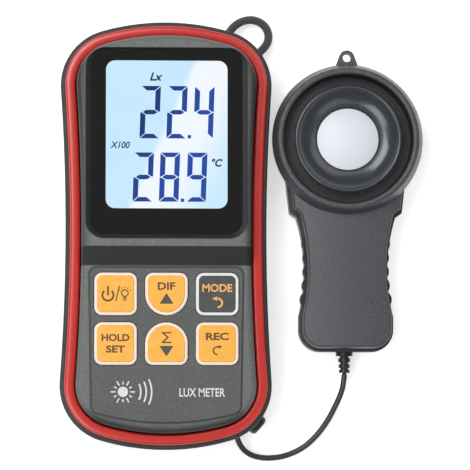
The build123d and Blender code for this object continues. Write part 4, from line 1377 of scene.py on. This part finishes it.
    def shade_panel_gap(self) -> None:
        """Lines the panel's edge with painted shade, which reads as the gap to the cover."""
        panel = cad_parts["keypad_panel"]
        middle, _, top = stand_of("keypad_panel")
        flat = [(panel.matrix_world @ corner.co).xy / MM for corner in panel.data.vertices]
        rim = [flat[i] - Vector(middle) for i in convex_hull_2d(flat)]
        edge = Marks(middle, top + self.legend_gap)
        edge.ring(*(
            [tuple(point * (1.0 - inset / point.length)) for point in rim]
            for inset in (self.edge_inset, self.edge_width)
        ))
        edge.piece("panel_gap_shade", "meter", "panel_plastic", GAP_SHADE)

    def build(self) -> None:
        """Builds the print and the painted shade round the panel, and dresses the keys."""
        for printer in (
            self.print_power, self.print_up, self.print_mode,
            self.print_hold, self.print_down, self.print_record, self.print_panel, self.shade_panel_gap,
        ):
            printer()
        dress({"keypad_panel": PANEL})
        for key in Key:
            rim, cap = (KEY_WHITE, KEY_GREY) if key is Key.MODE else (KEY_CREAM, KEY_ORANGE)
            dress({f"key_{key.value}_rim": rim, f"key_{key.value}_cap": cap})


# ---------------------------------------------------------------- socket, hanging loop and lead
@dataclass
class Cord:
    """What the loop and the lead share: a round soft piece of known length along a route."""

    diameter: float
    length: float
    route: tuple[Place, ...]

    def declare(self, piece: bpy.types.Object, line: list[Vector]) -> None:
        """Takes a piece and its line, and does nothing with them."""


@dataclass
class HangingLoop(Cord):
    """The braided loop at the meter's top right corner, held in the case at both ends."""

    diameter: float = 3.15
    length: float = 43.2
    route: tuple[Place, ...] = (
        (20.3, 72.4, 6.6), (22.8, 76.4, 6.3), (26.5, 81.8, 5.0), (32.0, 84.2, 3.0), (36.9, 82.9, 2.1),
        (39.4, 79.4, 2.2), (39.3, 75.4, 3.2), (37.1, 72.1, 4.6), (33.9, 69.4, 5.9), (30.7, 66.9, 6.5),
    )

    def build(self) -> None:
        line = smooth_line(list(self.route))
        mesh = tube("carry_loop", line, self.diameter / 2 * MM)
        loop = finish_piece("carry_loop", mesh, "meter", LOOP_CORD, ("hang_loop",), 60)
        self.declare(loop, line)
        dress({"loop_anchors": NICKEL})


@dataclass
class Lead(Cord):
    """The lead from the meter's gland to the sensor head, seen from end to end."""

    diameter: float = 2.2
    length: float = 64.5
    bend_run: float = 15.0  # the run of lead next to the head that would bend if the head were lifted
    route: tuple[Place, ...] = (
        (26.75, -73.05, 5.5), (27.17, -75.01, 5.5), (27.97, -77.1, 5.1), (29.15, -79.0, 4.5),
        (30.8, -80.6, 3.7), (32.8, -81.75, 2.9), (35.1, -82.45, 2.15), (38.9, -82.95, 1.4),
        (45.3, -82.25, 1.13), (52.3, -79.2, 1.12), (57.6, -74.4, 1.35), (61.8, -68.6, 2.3),
        (64.9, -62.4, 3.9), (66.5, -58.6, 5.0), (67.4, -55.2, 5.8), (67.7, -51.8, 6.2),
    )

    def build(self) -> None:
        line = smooth_line(list(self.route))
        mesh = tube("sensor_lead", line, self.diameter / 2 * MM)
        lead = finish_piece("sensor_lead", mesh, None, LEAD_JACKET, ("probe_cord",), 60)
        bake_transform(lead)
        self.declare(lead, line)
        dress({"cord_gland": BLACK_RUBBER, "port_socket": WHITE_NYLON, "port_plug": BLACK_RUBBER})


# ---------------------------------------------------------------- the sensor head and the insides
@dataclass
class SensorHead:
    """The sensor head: two shells, side grips, the bowl round its white dome, and what is inside."""

    def build(self) -> None:
        """Dresses the sensor head."""
        dress({
            "probe_back_shell": HEAD_RIM, "probe_front_shell": HEAD, "probe_grip_left": BLACK_RUBBER,
            "probe_grip_right": BLACK_RUBBER, "sensor_bowl": BOWL, "diffuser_dome": OPAL,
            "diffuser_seal": BLACK_RUBBER, "filter_glass": FILTER, "sensor_holder": CHIP,
            "photodiode": CHIP, "probe_board": BOARD, "probe_strain_relief": BLACK_RUBBER,
            "probe_screws": ZINC,
        })


@dataclass
class Insides:
    """What the meter holds inside: its boards, switches, cells and contacts."""

    cells: int = 3

    def build(self) -> None:
        """Dresses the boards, the contacts and the cells."""
        dress({
            "main_board": BOARD, "key_board": BOARD, "board_chips": CHIP, "buzzer": CHIP,
            "key_board_posts": NICKEL, "dome_switches": NICKEL,
            "battery_springs": NICKEL, "battery_plates": NICKEL,
        })
        dress({f"battery_{number + 1}": CELL for number in range(self.cells)})


# ---------------------------------------------------------------- studio
@dataclass(frozen=True)
class SoftLight:
    """One large square soft light, aimed at the middle of the object."""

    name: str
    heading_deg: float  # where it stands, from +X
    height_deg: float  # its height above the floor, as seen from the object
    power: float
    size: float = 0.5
    distance: float = 0.95

    def build(self, target: Vector) -> None:
        """Makes the light.

        Args:
            target: the point it faces.
        """
        lamp = bpy.data.lights.new(self.name, "AREA")
        lamp.shape = "SQUARE"
        lamp.size = self.size
        lamp.energy = self.power
        turn, lift = math.radians(self.heading_deg), math.radians(self.height_deg)
        way = Vector((math.cos(turn) * math.cos(lift), math.sin(turn) * math.cos(lift), math.sin(lift)))
        holder = bpy.data.objects.new(self.name, lamp)
        holder.location = target + way * self.distance
        holder.rotation_mode = "QUATERNION"
        holder.rotation_quaternion = way.to_track_quat("Z", "Y")
        holder.visible_camera = False
        bpy.context.scene.collection.objects.link(holder)
        LOG.info("%s: %.1f W", self.name, self.power)


@dataclass
class Studio:
    """White paper, soft lights all round and a long lens from above."""

    target: Place = (25.8, 0.2, 20.0)
    lean_left_deg: float = 2.6
    lean_low_deg: float = 4.5
    distance: float = 1.2
    frame_mm: float = 175.7  # what the frame takes in at the target
    sensor_mm: float = 36.0
    paper_size: float = 3.0
    paper_cells: int = 12
    paper_drop: float = 0.05  # how far under the object it lies, in millimetres
    sky: float = 0.22
    lights: tuple[SoftLight, ...] = (
        SoftLight("soft_light_upper_left", 135.0, 60.0, 4.4),
        SoftLight("soft_light_lower_left", 215.0, 60.0, 2.9),
        SoftLight("soft_light_upper_right", 45.0, 58.0, 1.0),
        SoftLight("soft_light_lower_right", 315.0, 58.0, 0.8),
    )

    def build_paper(self) -> None:
        """Lays the paper just under the object."""
        cells, half = self.paper_cells, self.paper_size / 2
        row = cells + 1
        marks = [(-half + i * self.paper_size / cells) / MM for i in range(row)]
        points = [(x, y, -self.paper_drop) for y in marks for x in marks]
        corners = [j * row + i for j in range(cells) for i in range(cells)]
        faces = [(first, first + 1, first + row + 1, first + row) for first in corners]
        mesh = mesh_of("paper", points, faces)
        mesh.materials.append(PAPER.material())
        paper = bpy.data.objects.new("paper", mesh)
        bpy.context.scene.collection.objects.link(paper)

    def build_camera(self) -> None:
        """Sets the camera over the object, leaning a little to its lower left."""
        lean = Vector((
            -math.tan(math.radians(self.lean_left_deg)), -math.tan(math.radians(self.lean_low_deg)), 1.0
        )).normalized()
        lens = bpy.data.cameras.new("camera")
        lens.sensor_width = self.sensor_mm
        lens.lens = self.sensor_mm * self.distance / (self.frame_mm * MM)
        camera = bpy.data.objects.new("camera", lens)
        camera.location = Vector(self.target) * MM + lean * self.distance
        across = Vector((0.0, 1.0, 0.0)).cross(lean).normalized()
        camera.rotation_mode = "QUATERNION"
        camera.rotation_quaternion = Matrix((across, lean.cross(across), lean)).transposed().to_quaternion()
        bpy.context.scene.collection.objects.link(camera)
        bpy.context.scene.camera = camera

    def build(self) -> None:
        """Builds the studio."""
        self.build_camera()
        self.build_paper()
        world = bpy.data.worlds.new("room")
        world.use_nodes = True
        world.node_tree.nodes["Background"].inputs["Color"].default_value = linear("#ffffff")
        world.node_tree.nodes["Background"].inputs["Strength"].default_value = self.sky
        scene = bpy.context.scene
        scene.world = world
        scene.view_settings.view_transform = "Standard"
        for light in self.lights:
            light.build(Vector(self.target) * MM)


def main() -> None:
    """Builds the studio and every sub-assembly."""
    logging.basicConfig(level=logging.INFO, format="%(message)s")
    assemblies = (
        Studio(), Lead(), HangingLoop(), Housing(), Display(), Keypad(), SensorHead(), Insides()
    )
    for assembly in assemblies:
        LOG.info("building %s", type(assembly).__name__)
        assembly.build()


if __name__ == "__main__":
    main()
